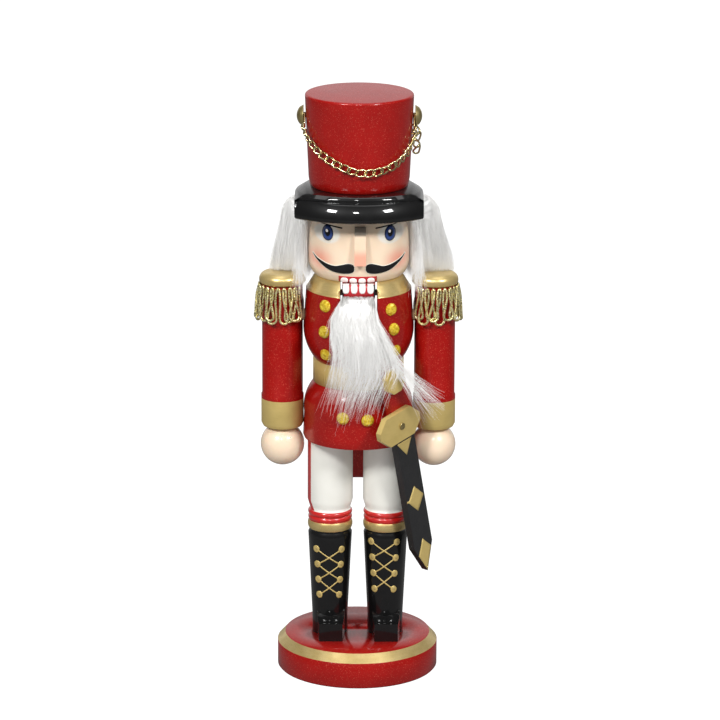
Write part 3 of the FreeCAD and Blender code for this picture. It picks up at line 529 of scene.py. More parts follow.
def paintPiece(name, shapes, body, slotName, outward=(0, -1, 0), film=0.06):
    shape = bmesh.new()
    materials = []
    for (grid, faces), material in shapes:
        if material not in materials:
            materials.append(material)
        spots = [shape.verts.new(p) for p in grid]
        for face in faces:
            made = shape.faces.new([spots[i] for i in face])
            made.material_index = materials.index(material)
            made.smooth = True
    bmesh.ops.remove_doubles(shape, verts=shape.verts, dist=0.0004 * mm)
    shape.normal_update()
    flipped = [f for f in shape.faces if f.normal.dot(Vector(outward)) < 0]
    bmesh.ops.reverse_faces(shape, faces=flipped)
    mesh = bpy.data.meshes.new(name)
    shape.to_mesh(mesh)
    shape.free()
    piece = putMesh(name, mesh)
    for material in materials:
        mesh.materials.append(material)
    solid = piece.modifiers.new("film", "SOLIDIFY")
    solid.thickness = film * mm
    solid.offset = -1
    dress(piece, body, slotName)


# ---- face

facePaints = {"eye": (15.8, 236.7), "rim": (3.1, 4.15), "rimDown": 0.35, "iris": (2.85, 3.95),
              "ring": (2.35, 3.35), "pupil": (1.25, 1.9), "pupilUp": 0.1,
              "glint": (0.6, 0.75), "glintShift": (-0.35, 1.0), "moustacheShift": 0.7,
              "outline": 0.35, "lip": ((-10.2, 211.62), (9.2, 215.2)),
              "tooth": (1.85, 1.75), "toothStep": 4.5, "firstTooth": -7.3, "toothZ": 212.55,
              "outerToothZ": 212.75}
moustache = [(2.9, 219.6, 0.9), (3.7, 219.6, 2.0), (5.6, 219.5, 2.55), (8.4, 219.0, 2.35),
             (11.8, 218.7, 1.75), (15.2, 219.3, 1.35), (18.6, 220.8, 0.9), (21.4, 222.6, 0.45),
             (23.3, 224.6, 0.06)]
browLine = [(8.4, 239.9, 0.34), (12.0, 240.3, 0.34), (16.5, 240.7, 0.26), (20.6, 240.9, 0.10)]

look = facePaints
headLay = fromFront(treeOf(finished["head"]), look["lip"][0][1])
shapes = []
for side in (-1, 1):
    eyeX, eyeZ = side * look["eye"][0], look["eye"][1]
    aside, above = look["glintShift"]
    for x, z, size, lift, paint in (
            (eyeX, eyeZ - look["rimDown"], look["rim"], 0.05, cream),
            (eyeX, eyeZ, look["iris"], 0.09, eyeRim),
            (eyeX, eyeZ, look["ring"], 0.13, eyeBlue),
            (eyeX, eyeZ + look["pupilUp"], look["pupil"], 0.17, inkBlack),
            (eyeX + aside, eyeZ + above, look["glint"], 0.21, glowingWhite)):
        shapes.append((ovalPaint(headLay, (x, z), size, lift), paint))
    shapes.append((strokePaint(headLay, [(side * a, b, w) for a, b, w in browLine], 0.08), inkBlack))
    lobe = [(side * a + look["moustacheShift"] * max(0, 1 - a / 24), b, w) for a, b, w in moustache]
    shapes.append((strokePaint(headLay, lobe, 0.06, across=6, grow=look["outline"]), cream))
    shapes.append((strokePaint(headLay, lobe, 0.12, across=6), inkBlack))
shapes.append((boxPaint(headLay, *look["lip"], 0.06, 16, 4), mouthRed))
for k in range(4):
    spot = (look["firstTooth"] + k * look["toothStep"], look["outerToothZ" if k in (0, 3) else "toothZ"])
    shapes.append((ovalPaint(headLay, spot, look["tooth"], 0.12, power=2.6), glowingWhite))
paintPiece("face_paint", shapes, "figure", "flesh_paint")

jawPaints = {"lip": ((-8.3, 204.3), (8.3, 211.2)), "edges": (-8.32, 7.52), "edgeWide": 0.8,
             "edgeFoot": 191.0, "tooth": (1.68, 2.75), "toothZ": 209.2, "toothStep": 4.15,
             "firstTooth": -6.45, "topFrom": -25.9, "topTo": -22.9}
look = jawPaints
leverTop = max(v.co.z for v in finished["jaw_lever"].data.vertices) / mm
jawLay = fromFront(treeOf(finished["jaw_lever"]), 0.0, leverTop - 0.03)
topLay = fromAbove(leverTop)
shapes = [(boxPaint(jawLay, *look["lip"], 0.05, 2, 2), mouthRed)]
# black strips down both sides of the lever's front: painted shade of the gaps between the lever and the
# slot walls
for edge in look["edges"]:
    shapes.append((boxPaint(jawLay, (edge, look["edgeFoot"]), (edge + look["edgeWide"], look["lip"][1][1]),
                            0.09, 1, 8), inkBlack))
for k in range(4):
    toothX, wide = look["firstTooth"] + k * look["toothStep"], look["tooth"][0]
    shapes.append((ovalPaint(jawLay, (toothX, look["toothZ"]), look["tooth"], 0.14, power=2.7), toothWhite))
    shapes.append((boxPaint(topLay, (toothX - wide, look["topFrom"]), (toothX + wide, look["topTo"]),
                            0.06, 4, 2), toothWhite))
paintPiece("lower_teeth_paint", shapes, "jaw", "red_glitter", (0, -1, 1))
print("face painted")


# ---- boots: painted eyelets and crossed laces

laces = {"rows": 4, "laceHalf": 0.32, "eyelet": (1.55, 1.95), "hole": (0.6, 0.8), "holeShift": 0.15,
         "left": {"top": 69.4, "rowStep": 8.65, "outer": (5.9, 4.3), "inner": (-7.4, -5.5)},
         "right": {"top": 65.2, "rowStep": 8.35, "outer": (6.0, 4.8), "inner": (-7.0, -5.4)}}
eyeletMark = flatPaint("eyeletMark", rgb(0.34, 0.24, 0.08), rgb(0.46, 0.34, 0.13), 0.5, 0.1)
for side, sign in (("left", 1), ("right", -1)):
    legLay = fromFront(treeOf(finished[side + "_leg"]))
    look, legX, half = laces[side], sign * trouserLook["legX"], laces["laceHalf"]
    rows = []
    for k in range(laces["rows"]):
        share = k / (laces["rows"] - 1)
        a, b = (legX + first + (last - first) * share for first, last in (look["inner"], look["outer"]))
        rows.append((look["top"] - k * look["rowStep"], a, b))
    shapes = []
    for (z0, a0, b0), (z1, a1, b1) in zip(rows, rows[1:]):
        for start, end, lift in ((a0, b1, 0.05), (b0, a1, 0.10)):
            lace = [(start, z0, half), ((start + end) / 2, (z0 + z1) / 2, half), (end, z1, half)]
            shapes.append((strokePaint(legLay, lace, lift, across=2), khakiGold))
    for z, a, b in rows:
        for x in (a, b):
            shapes.append((ovalPaint(legLay, (x, z), laces["eyelet"], 0.15, rings=3, around=20), khakiGold))
            shapes.append((ovalPaint(legLay, (x + laces["holeShift"], z), laces["hole"], 0.19,
                                     rings=2, around=12), eyeletMark))
    paintPiece(side + "_boot_laces", shapes, "figure", "gold_paint")
print("boots laced")


# ---- sword: painted gold triangle and diamonds on the black lath, red on the grip

swordLook = {"yaw": 46.0, "tilt": 13.2, "along": -3.4, "height": 137.0,
             "triangle": ((-4.7, -9.0), (6.1, -9.0), (0.9, -17.2)),
             "diamond": ((2.1, -36.0), (7.9, -43.0), (2.2, -50.4), (-3.6, -43.2)),
             "tail": ((-4.6, -42.6, 0.55), (-3.2, -42.8, 0.5), (-1.8, -42.2, 0.6)),
             "tip": ((1.9, -66.6), (7.1, -73.0), (1.9, -85.1), (-2.6, -75.0))}
yaw, lean = math.radians(swordLook["yaw"]), math.radians(swordLook["tilt"])
outwards = Vector((math.sin(yaw), -math.cos(yaw), 0))
sideways = Vector((math.cos(yaw), math.sin(yaw), 0))
swordAcross = sideways * math.cos(lean) + Vector((0, 0, math.sin(lean)))
swordUp = Vector((0, 0, math.cos(lean))) - sideways * math.sin(lean)
swordMiddle = sideways * swordLook["along"] + Vector((0, 0, swordLook["height"]))

lath = smoothCopy("sword_lath")
lath.data.materials.append(blackSatin)
lath.data.materials.append(redGlitter)
reshape(lath.data, lambda shape: slicePlane(shape, swordMiddle * mm, swordUp))
for face in lath.data.polygons:
    face.material_index = 1 if (face.center / mm - swordMiddle).dot(swordUp) > 0 else 0
dress(lath, "figure", "black_gloss", replaces=["sword_lath"])
lathTree = treeOf(lath)


def swordLay(across, up, lift):
    start = swordMiddle + swordAcross * across + swordUp * up + outwards * 60
    spot, normal, index, reach = lathTree.ray_cast(start * mm, -outwards)
    return spot + outwards * lift * mm


def cornersPaint(lay, corners, lift, rings=3, each=6):
    middle = np.mean(corners, axis=0)
    rim = []
    for a, b in zip(corners, list(corners[1:]) + [corners[0]]):
        rim += [np.array(a) + (np.array(b) - np.array(a)) * k / each for k in range(each)]
    grid = [lay(*(middle + (p - middle) * ring / rings), lift) for ring in range(1, rings + 1) for p in rim]
    return grid + [lay(*middle, lift)], ringFaces(rings, len(rim))


shapes = [(cornersPaint(swordLay, swordLook[name], 0.07), khakiGold)
          for name in ("triangle", "diamond", "tip")]
shapes.append((strokePaint(swordLay, swordLook["tail"], 0.06, across=2), khakiGold))
paintPiece("sword_gold_paint", shapes, "figure", "gold_paint", outwards)
print("sword painted")


# ---- node tree helpers for what repeats or follows a path

def newTree(name, inputs):
    tree = bpy.data.node_groups.new(name, "GeometryNodeTree")
    tree.interface.new_socket("Geometry", in_out="INPUT", socket_type="NodeSocketGeometry")
    for label, kind in inputs:
        tree.interface.new_socket(label, in_out="INPUT", socket_type="NodeSocket" + kind)
    tree.interface.new_socket("Geometry", in_out="OUTPUT", socket_type="NodeSocketGeometry")
    return tree, tree.nodes.new("NodeGroupInput").outputs


def geo(tree, kind, links=None, out=0, **settings):
    return addNode(tree, "GeometryNode" + kind, links, **settings).outputs[out]


def closeTree(tree, geometry, material, smooth=True):
    if smooth:
        geometry = geo(tree, "SetShadeSmooth", {0: geometry})
    real = geo(tree, "RealizeInstances", {0: geometry})
    covered = geo(tree, "SetMaterial", {0: real, "Material": material})
    tree.links.new(covered, tree.nodes.new("NodeGroupOutput").inputs[0])


def grow(name, source, tree, values):
    maker = putMesh(name + "_maker", source)
    modifier = maker.modifiers.new("grow", "NODES")
    modifier.node_group = tree
    for item in tree.interface.items_tree:
        if item.in_out == "INPUT" and item.name in values:
            modifier[item.identifier] = values[item.name]
    graph = bpy.context.evaluated_depsgraph_get()
    mesh = bpy.data.meshes.new_from_object(maker.evaluated_get(graph))
    bpy.data.objects.remove(maker)
    mesh.name = name
    return putMesh(name, mesh)


def addAttribute(mesh, name, values, kind="FLOAT"):
    attribute = mesh.attributes.new(name, kind, "POINT")
    flat = np.array(values, np.float32).ravel()
    attribute.data.foreach_set("vector" if kind == "FLOAT_VECTOR" else "value", flat)


def readAttribute(tree, name, kind="FLOAT"):
    return geo(tree, "InputNamedAttribute", {"Name": name}, "Attribute", data_type=kind)


def wireMesh(name, lines, closed=False):
    points, edges = [], []              # lines are arrays of points in millimetres
    for line in lines:
        first, count = len(points), len(line)
        points.extend(line)
        edges.extend((first + k, first + k + 1) for k in range(count - 1))
        if closed:
            edges.append((first + count - 1, first))
    return meshOf(name, points, edges)


# ---- hat chain: a twisted oval link set down wherever the frame has a link

chainLook = {"wire": 1.02, "long": 6.5, "wide": 4.3, "twist": 40.0, "sides": 8, "bend": 12,
             "roll": 20.0, "slant": 9.0, "tailFacing": (0.55, -0.83, 0.0),
             "tailTop": 291.0, "tailSquash": 0.74, "tailZigzag": 1.1,
             "endLinkFrom": 8.0}        # an island longer than this is one of the two end links


def islands(mesh):
    shape = bmesh.new()
    shape.from_mesh(mesh)
    weld(shape)
    waiting, found = set(shape.verts), []
    for first in shape.verts:
        if first not in waiting:
            continue
        waiting.remove(first)
        stack, group = [first], []
        while stack:
            spot = stack.pop()
            group.append(np.array(spot.co) / mm)
            for edge in spot.link_edges:
                other = edge.other_vert(spot)
                if other in waiting:
                    waiting.remove(other)
                    stack.append(other)
        found.append(np.array(group))
    shape.free()
    return found


def linkOutline(long, twist):
    inner = (chainLook["wide"] - chainLook["wire"]) / 2
    reach = long / 2 - chainLook["wire"] / 2 - inner
    turns = chainLook["bend"]
    arc = [(reach + inner * math.cos(a), inner * math.sin(a))
           for a in (math.pi * (k / turns - 0.5) for k in range(turns + 1))]
    bars = [(reach * k / 2, inner) for k in (1, 0, -1)]
    line = arc + bars + [(-x, -y) for x, y in arc] + [(-x, -y) for x, y in bars]
    spots = []
    for x, y in line:
        turn = math.radians(twist) * x / (long / 2)
        spots.append((x, y * math.cos(turn), y * math.sin(turn)))
    return np.array(spots)


def plantLinks(name, outline, seats, tree):
    mesh = meshOf(name + "_seats", [middle for middle, along, flat in seats])
    addAttribute(mesh, "along", [along for middle, along, flat in seats], "FLOAT_VECTOR")
    addAttribute(mesh, "flat", [flat for middle, along, flat in seats], "FLOAT_VECTOR")
    shape = putMesh(name + "_outline", wireMesh(name + "_outline", [outline], closed=True))
    piece = grow(name, mesh, tree, {"Link": shape, "Wire radius": chainLook["wire"] / 2 * mm,
                                    "Sides": chainLook["sides"], "Metal": giltMetal})
    bpy.data.objects.remove(shape)
    return piece


chainTree, given = newTree("chainLinks", [("Link", "Object"), ("Wire radius", "Float"),
                                          ("Sides", "Int"), ("Metal", "Material")])
along, flat = (readAttribute(chainTree, name, "FLOAT_VECTOR") for name in ("along", "flat"))
turned = addNode(chainTree, "FunctionNodeAxesToRotation", {0: along, 1: flat},
                 primary_axis="X", secondary_axis="Z").outputs[0]
outline = geo(chainTree, "ObjectInfo", {"Object": given["Link"]}, "Geometry")
planted = geo(chainTree, "InstanceOnPoints",
              {"Points": given["Geometry"], "Instance": outline, "Rotation": turned})
curve = geo(chainTree, "MeshToCurve", {0: geo(chainTree, "RealizeInstances", {0: planted})})
profile = geo(chainTree, "CurvePrimitiveCircle",
              {"Resolution": given["Sides"], "Radius": given["Wire radius"]})
swept = geo(chainTree, "CurveToMesh", {"Curve": curve, "Profile Curve": profile})
closeTree(chainTree, swept, given["Metal"])

shortSeats, longSeats, longLength = [], [], 0
dice = random.Random(5)
for group in islands(nodes["hat_chain"].data):
    middle = group.mean(0)
    axes = np.linalg.svd(group - middle, full_matrices=False)[2]
    span = np.ptp((group - middle) @ axes[0])
    if span > chainLook["endLinkFrom"]:
        longSeats.append((middle, axes[0], axes[2]))
        longLength = span
        continue
    along = axes[0] * (1 if axes[0][0] > 0.1 else -1)
    inTail = abs(middle[1]) < 0.5
    facing = middle * (1, 1, 0) / np.hypot(middle[0], middle[1])
    if inTail:
        facing = np.array(chainLook["tailFacing"])
    facing = facing - along * (facing @ along)
    side = np.cross(facing, along)
    if inTail:
        sway = chainLook["tailZigzag"] * (-1) ** len(shortSeats)
        drop = (chainLook["tailTop"] - middle[2]) * chainLook["tailSquash"]
        middle = np.array((middle[0] + 0.4 * sway, middle[1] - 0.6 - 0.5 * sway,
                           chainLook["tailTop"] - drop))
        along = along + np.array((0.45 * sway, -0.3 * sway, 0))
        along = along / np.linalg.norm(along)
        facing = facing - along * (facing @ along)
    slant = math.radians(chainLook["slant"] + dice.uniform(-4, 4))
    roll = math.radians(dice.uniform(-1, 1) * chainLook["roll"])
    along = along * math.cos(slant) + side * math.sin(slant)
    facing = facing * math.cos(roll) + np.cross(along, facing) * math.sin(roll)
    shortSeats.append((middle, along, facing))
outline = linkOutline(chainLook["long"], chainLook["twist"])
links = plantLinks("gilt_hat_chain", outline, shortSeats, chainTree)
endLinks = plantLinks("gilt_end_links", linkOutline(longLength, 0), longSeats, chainTree)
for item in (links, endLinks):
    dress(item, "chain", "gilt_chain")
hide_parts("hat_chain")
print("chain linked:", len(shortSeats) + len(longSeats))


# ---- stones: one brilliant cut, set on every gem of the frame

gemLook = {"radius": 3.25, "table": 1.85, "crown": 1.7, "girdle": 0.6, "facets": 8,
           "waist": (0.82, 0.56)}       # where the crown's facets meet: shares of radius and crown


def brilliant():
    n, wide, girdle, crown = (gemLook[k] for k in ("facets", "radius", "girdle", "crown"))
    inwards, up = gemLook["waist"]
    rows = [(wide, 0, 2 * n, 0), (wide, girdle, 2 * n, 0),
            (wide * inwards, girdle + crown * up, n, 0.5), (gemLook["table"], girdle + crown, n, 0)]
    shape = bmesh.new()
    for radius, height, count, shift in rows:
        for k in range(count):
            turn = 2 * math.pi * (k + shift) / count
            shape.verts.new(Vector((radius * math.cos(turn), radius * math.sin(turn), height)) * mm)
    bmesh.ops.convex_hull(shape, input=shape.verts)
    bmesh.ops.dissolve_limit(shape, angle_limit=0.01, verts=shape.verts, edges=shape.edges)
    bmesh.ops.recalc_face_normals(shape, faces=shape.faces)
    mesh = bpy.data.meshes.new("brilliant")
    shape.to_mesh(mesh)
    shape.free()
    return mesh


gemTree, given = newTree("setStones", [("Stone", "Object"), ("Glass", "Material")])
shown = geo(gemTree, "ObjectInfo", {"Object": given["Stone"]}, "Geometry")
facing = addNode(gemTree, "FunctionNodeAlignRotationToVector",
                 {"Vector": readAttribute(gemTree, "facing", "FLOAT_VECTOR")}, axis="Z").outputs[0]
placed = geo(gemTree, "InstanceOnPoints",
             {"Points": given["Geometry"], "Instance": shown, "Rotation": facing})
closeTree(gemTree, placed, given["Glass"], smooth=False)

gemNames = sorted(name for name in nodes if "_gem_" in name)
seats, ways = [], []
for name in gemNames:
    group = np.unique(np.array([v.co for v in nodes[name].data.vertices]).round(7), axis=0)
    middle = (group.max(0) + group.min(0)) / 2
    way = np.linalg.svd(group - middle, full_matrices=False)[2][2]
    way = way if way @ (middle * (1, 1, 0)) > 0 else -way
    seats.append((middle + way * ((group - middle) @ way).min()) / mm)
    ways.append(way)
seatMesh = meshOf("gem_seats", seats)
addAttribute(seatMesh, "facing", ways, "FLOAT_VECTOR")
stoneMaker = putMesh("stone_maker", brilliant())
stones = grow("faceted_stones", seatMesh, gemTree, {"Stone": stoneMaker, "Glass": stone})
bpy.data.objects.remove(stoneMaker)
dress(stones, "figure", "topaz_glass", replaces=gemNames)
print("stones set:", len(gemNames))


# ---- shoulder fringes: one twisted metallic cord looped to and fro round each shoulder

fringeLook = {"armX": 39.15, "top": 204.9, "loops": 19, "from": -139.0, "to": 139.0,
              "cord": 0.74, "valley": 0.45, "plies": 3, "twistPerMm": 2.6, "step": 0.40,
              "long": (15.2, 18.4), "wide": (1.75, 2.45), "topRadius": 12.0, "footRadius": 13.1,
              "clear": 29.6, "fleckMm": 0.42, "silverFrom": 0.62, "darkFrom": 0.8,
              "pale": rgb(0.90, 0.78, 0.33), "silver": rgb(1.0, 0.95, 0.62), "dark": rgb(0.20, 0.16, 0.04)}

metallicCord, tree, shader, place = newMaterial("metallicCord", Metallic=0.8, Roughness=0.34)
chance = flecks(tree, place, fringeLook["fleckMm"])
silver, dark = (sums(tree, "GREATER_THAN", chance[k], fringeLook[name])
                for k, name in enumerate(("silverFrom", "darkFrom")))
colour = blendColours(tree, silver, fringeLook["pale"], fringeLook["silver"])
colourIn(tree, shader, dark, colour, fringeLook["dark"])
addBump(tree, shader, chance[2], 0.05 * mm, 0.6)

cordTree, given = newTree("twistedCord", [("Radius", "Float"), ("Valley", "Float"), ("Plies", "Int"),
                                         ("Step", "Float"), ("Twist per metre", "Float"),
                                         ("Cord", "Material")])
curve = geo(cordTree, "MeshToCurve", {0: given["Geometry"]})
even = geo(cordTree, "ResampleCurve", {"Curve": curve, "Length": given["Step"]}, mode="LENGTH")
reach = geo(cordTree, "SplineParameter", out="Length")
twisted = geo(cordTree, "SetCurveTilt",
              {"Curve": even, "Tilt": times(cordTree, reach, given["Twist per metre"])})
lobes = geo(cordTree, "CurveStar", {"Points": given["Plies"], "Inner Radius": given["Valley"],
                                    "Outer Radius": given["Radius"]})
swept = geo(cordTree, "CurveToMesh", {"Curve": twisted, "Fill Caps": True, "Profile Curve": lobes})
closeTree(cordTree, swept, given["Cord"])


def fringeLine(side, seed):
    dice = random.Random(seed)
    look = fringeLook
    spots, pitch = [], (look["to"] - look["from"]) / look["loops"]
    mmPerDegree = math.radians(1) * look["topRadius"]
    for k in range(look["loops"]):
        middle = look["from"] + (k + 0.5) * pitch
        long, wide = dice.uniform(*look["long"]), dice.uniform(*look["wide"])
        lean, push = dice.uniform(-0.10, 0.10), (0.8 if k % 2 else 0.0) + dice.uniform(0, 0.4)
        neck = dice.uniform(0.75, 1.0)
        half = pitch * mmPerDegree / 2
        shape = [(-half, -0.5), (-neck, 0.5), (-neck * 0.9, long * 0.3), (-wide * 0.75, long * 0.62),
                 (-wide, long - 2.2), (-wide * 0.62, long - 0.45), (0, long), (wide * 0.62, long - 0.45),
                 (wide, long - 2.2), (wide * 0.75, long * 0.62), (neck * 0.9, long * 0.3), (neck, 0.5)]
        for across, down in shape:
            angle = math.radians(middle + (across + lean * down) / mmPerDegree)
            share = max(0.0, down / 18)
            radius = look["topRadius"] + (look["footRadius"] - look["topRadius"]) * share
            radius += push * min(1, share * 3)
            x, y = look["armX"] + radius * math.cos(angle), radius * math.sin(angle)
            far = math.hypot(x, y)
            if far < look["clear"]:
                x, y = x * look["clear"] / far, y * look["clear"] / far
            spots.append((side * x, y, look["top"] - down))
    return smoothLine(spots, 6)


for side, sign, seed in (("left", 1, 21), ("right", -1, 34)):
    source = wireMesh(side + "_fringe_line", [fringeLine(sign, seed)])
    look = fringeLook
    cord = grow(side + "_looped_fringe", source, cordTree, {
        "Radius": look["cord"] * mm, "Valley": look["valley"] * mm, "Plies": look["plies"],
        "Step": look["step"] * mm, "Twist per metre": look["twistPerMm"] / mm, "Cord": metallicCord})
    dress(cord, "figure", "metallic_cord", replaces=[side + "_fringe"])
    print(side, "fringe looped:", len(cord.data.polygons), "faces")


# ---- fur: guides laid by rule, turned into thin tapered strands by one node tree

# the root colour is painted shade, used for the short pile under the teeth
furLook = {"white": rgb(0.95, 0.945, 0.93), "shade": rgb(0.80, 0.795, 0.78), "root": rgb(0.36, 0.35, 0.34),
           "glow": 0.08, "thick": 0.17, "sides": 3, "tip": 0.2}


def makeFur(name, low, high):
    material, tree, shader, place = newMaterial(name, Roughness=0.6, Sheen_Weight=0.3, Sheen_Roughness=0.4,
                                                Emission_Color=high, Emission_Strength=furLook["glow"])
    mix = fineNoise(tree, place, 700.0, 3.0, (1, 1, 0.08))
    colourIn(tree, shader, ramp(tree, mix, 0.35, 0.65), low, high)
    return material


whiteFur = makeFur("whiteFurStrands", furLook["shade"], furLook["white"])
# the short pile under the teeth is coloured dark grey: painted shade under the jaw
furRootShade = makeFur("furRootsPaintedShade", furLook["root"], furLook["shade"])

furTree, given = newTree("furStrands", [("Thickness", "Float"), ("Sides", "Int"), ("Fibre", "Material")])
curve = geo(furTree, "MeshToCurve", {0: given["Geometry"]})
thick = times(furTree, readAttribute(furTree, "taper"), given["Thickness"])
sized = geo(furTree, "SetCurveRadius", {"Curve": curve, "Radius": thick})
profile = geo(furTree, "CurvePrimitiveCircle", {"Resolution": given["Sides"], "Radius": 1.0})
radius = geo(furTree, "InputRadius")
swept = geo(furTree, "CurveToMesh", {"Curve": sized, "Scale": radius, "Profile Curve": profile})
closeTree(furTree, swept, given["Fibre"])


def growFur(name, strands, material, thick=furLook["thick"]):
    mesh = wireMesh(name + "_guides", strands)      # strands: count x points x 3, in millimetres
    count, each = strands.shape[:2]
    share = np.linspace(0, 1, each)
    taper = 1 - (1 - furLook["tip"]) * share ** 2.2
    addAttribute(mesh, "taper", np.tile(taper, count))
    piece = grow(name, mesh, furTree, {"Thickness": thick / 2 * mm, "Sides": furLook["sides"],
                                       "Fibre": material})
    print(name, "grown:", count, "strands")
    return piece


def ringedSolid(name, rings, material):
    around = len(rings[0])              # outlines one after another, both ends drawn in to a point
    spots = [p for ring in rings for p in ring]
    spots += [np.mean(rings[0], axis=0), np.mean(rings[-1], axis=0)]
    faces = []
    for k in range(len(rings) - 1):
        low, high = k * around, (k + 1) * around
        for i in range(around):
            n = (i + 1) % around
            faces.append((low + i, low + n, high + n, high + i))
    last = (len(rings) - 1) * around
    faces += [(len(spots) - 2, (i + 1) % around, i) for i in range(around)]
    faces += [(len(spots) - 1, last + i, last + (i + 1) % around) for i in range(around)]
    mesh = meshOf(name, spots, faces=faces)
    reshape(mesh, lambda shape: bmesh.ops.recalc_face_normals(shape, faces=shape.faces))
    mesh.shade_smooth()
    mesh.materials.append(material)
    return putMesh(name, mesh)


def arched(root, bend, tip, t):
    return root * (1 - t) ** 2 + 2 * bend * t * (1 - t) + tip * t * t


# ---- hair: it comes out under the brim, bulges past it and falls on the shoulders

hairLook = {"centre": (0.8, 5.0), "frontAngle": 97.0, "strands": 4300, "seed": 8, "points": 10,
            "heights": (250.0, 247.0, 243.5, 237.0, 230.0, 224.0, 218.0, 213.2, 203.0),
            "wide": (37.0, 39.0, 40.4, 41.4, 42.8, 44.2, 45.8, 46.6, 46.8),
            "deep": (28.5, 29.6, 30.2, 30.8, 31.2, 31.2, 30.8, 30.0, 28),
            "inner": 26.3, "flare": 1.4, "flareFrom": 236.0,
            "root": 242.0, "under": 243.6, "bulge": 250.0, "bulgeAt": 248.0, "brimEdge": 33.5,
            "backFoot": 214.6, "sideFoot": 206.0, "neckFoot": -2.0, "feetSpread": 1.3,
            "capTop": 212.2, "capRadius": 12.4, "clumpDegrees": 5, "frizz": 0.22}
lockLook = {"strands": 230, "thick": 0.13, "points": 8, "collarTop": 213.0, "tipForward": -11.4,
            "root": (28.2, -1.0, 240.0), "rootSpread": (1.2, 4.0, 3.0),
            "knee": (31.0, -6.0, 222.0), "kneeSpread": (2.2, 1.6, 3.0),
            "tip": (29.8, -12.6, 207.5), "tipSpread": (2.4, 0.7, 3.2)}


def hairOuter(angle, z):
    heights = hairLook["heights"][::-1]
    wide = np.interp(z, heights, hairLook["wide"][::-1])
    deep = np.interp(z, heights, hairLook["deep"][::-1])
    down = np.clip((hairLook["flareFrom"] - z) / 12, 0, 1)
    wide = wide + hairLook["flare"] * np.clip(np.sin(angle), 0, 1) * down
    x, y = hairLook["centre"]
    return x + wide * np.sin(angle), y + deep * np.cos(angle)


def brimClearance(angle):
    x, y = hairOuter(angle, hairLook["bulgeAt"])    # 0 under the brim, 1 clear of its edge
    return np.clip((np.hypot(x, y) - hairLook["brimEdge"]) / 4, 0, 1)


brimTree = treeOf(finished["hat_brim"])


def belowBrim(x, y, z):
    spot, normal, index, reach = brimTree.ray_cast(Vector((x, y, 200)) * mm, Vector((0, 0, 1)))
    return z if spot is None else min(z, spot.z / mm - 0.4)


def hairFoot(angle, layer):
    # lowest tips: clear of the lever behind, on the shoulder caps at the sides, longer at the neck
    side = np.abs(np.sin(angle))
    foot = np.where(side < 0.55, hairLook["backFoot"], hairLook["sideFoot"])
    return foot + np.where((side > 0.85) & (layer < 0.42), hairLook["neckFoot"], 0.0)


def hairStrands(count, low, high, seed):
    chance = np.random.default_rng(seed)
    each, clumpStep, inner = hairLook["points"], hairLook["clumpDegrees"], hairLook["inner"]
    angle = np.radians(chance.uniform(low, high, count))
    layer = chance.uniform(0.02, 1.0, count) ** 0.55
    length = chance.uniform(0.84, 1.0, count) ** 0.6
    sway = chance.normal(0, 0.03, count)
    lines = np.zeros((count, each, 3))
    clump = np.round(np.degrees(angle) / clumpStep + chance.uniform(-0.5, 0.5, count))
    clump = clump * np.radians(clumpStep)
    rootZ = hairLook["root"] - 3.0 * chance.uniform(0, 1, count)
    bulge = (hairLook["bulge"] - hairLook["under"]) * brimClearance(angle)
    top = np.minimum(hairLook["under"], rootZ + 1) + bulge * np.clip((layer - 0.72) / 0.2, 0, 1)
    foot = hairFoot(angle, layer) + chance.normal(0, hairLook["feetSpread"], count)
    foot = foot + 1.2 * np.sin(angle * 23) + 0.8 * np.sin(angle * 41)
    limit = np.radians(hairLook["frontAngle"]) * np.sign(angle)
    share = np.linspace(0, 1, each)
    for k, t in enumerate(share):
        rise = np.sin(np.clip(t / 0.28, 0, 1) * math.pi / 2)
        fall = np.clip((t - 0.2) / 0.8, 0, 1) ** 1.3
        z = rootZ + (top - rootZ) * rise
        z = z - (z - foot) * fall * length
        at = angle + (clump - angle) * 0.3 * t ** 2 + sway * t * 2
        at = np.where(np.abs(at) > np.abs(limit), limit, at)
        outX, outY = hairOuter(at, z)
        inX, inY = inner * np.sin(at), inner * np.cos(at)
        out = layer * rise
        lines[:, k] = np.stack([inX + (outX - inX) * out, inY + (outY - inY) * out, z], 1)
    lines += chance.normal(0, hairLook["frizz"], (count, 1, 3)) * share[None, :, None] ** 1.5 * 2.2
    radius = np.hypot(lines[:, :, 0], lines[:, :, 1])
    for line in lines:
        for spot in line:
            if spot[2] > 243.0:
                spot[2] = belowBrim(*spot)
    tooNear = np.maximum(inner / np.maximum(radius, 1), 1)
    lines[:, :, :2] *= np.where(lines[:, :, 2:] > 211.5, tooNear[:, :, None], 1)
    fromArm = np.hypot(np.abs(lines[:, :, 0]) - fringeLook["armX"], lines[:, :, 1])
    inCap = (fromArm < hairLook["capRadius"]) & (lines[:, :, 2] < hairLook["capTop"])
    lines[:, :, 2] = np.where(inCap, hairLook["capTop"], lines[:, :, 2])
    return lines


def neckStrands(side, seed):
    # a lock that hangs in front of the shoulder, from the temple past the collar
    chance = np.random.default_rng(seed)
    look, shape = lockLook, (lockLook["strands"], 3)
    lines = np.zeros((look["strands"], look["points"], 3))
    root = look["root"] + chance.uniform(-1, 1, shape) * look["rootSpread"]
    knee = look["knee"] + chance.normal(0, 1, shape) * look["kneeSpread"]
    tip = look["tip"] + chance.normal(0, 1, shape) * look["tipSpread"]
    tip[:, 1] = np.minimum(tip[:, 1], look["tipForward"])
    for k, t in enumerate(np.linspace(0, 1, look["points"])):
        lines[:, k] = arched(root, knee, tip, t)
    radius = np.hypot(lines[:, :, 0], lines[:, :, 1])
    near = np.maximum(hairLook["inner"] / radius, 1)[:, :, None]
    lines[:, :, :2] *= np.where(lines[:, :, 2:] > look["collarTop"], near, 1)
    lines[:, :, 0] *= side
    return lines


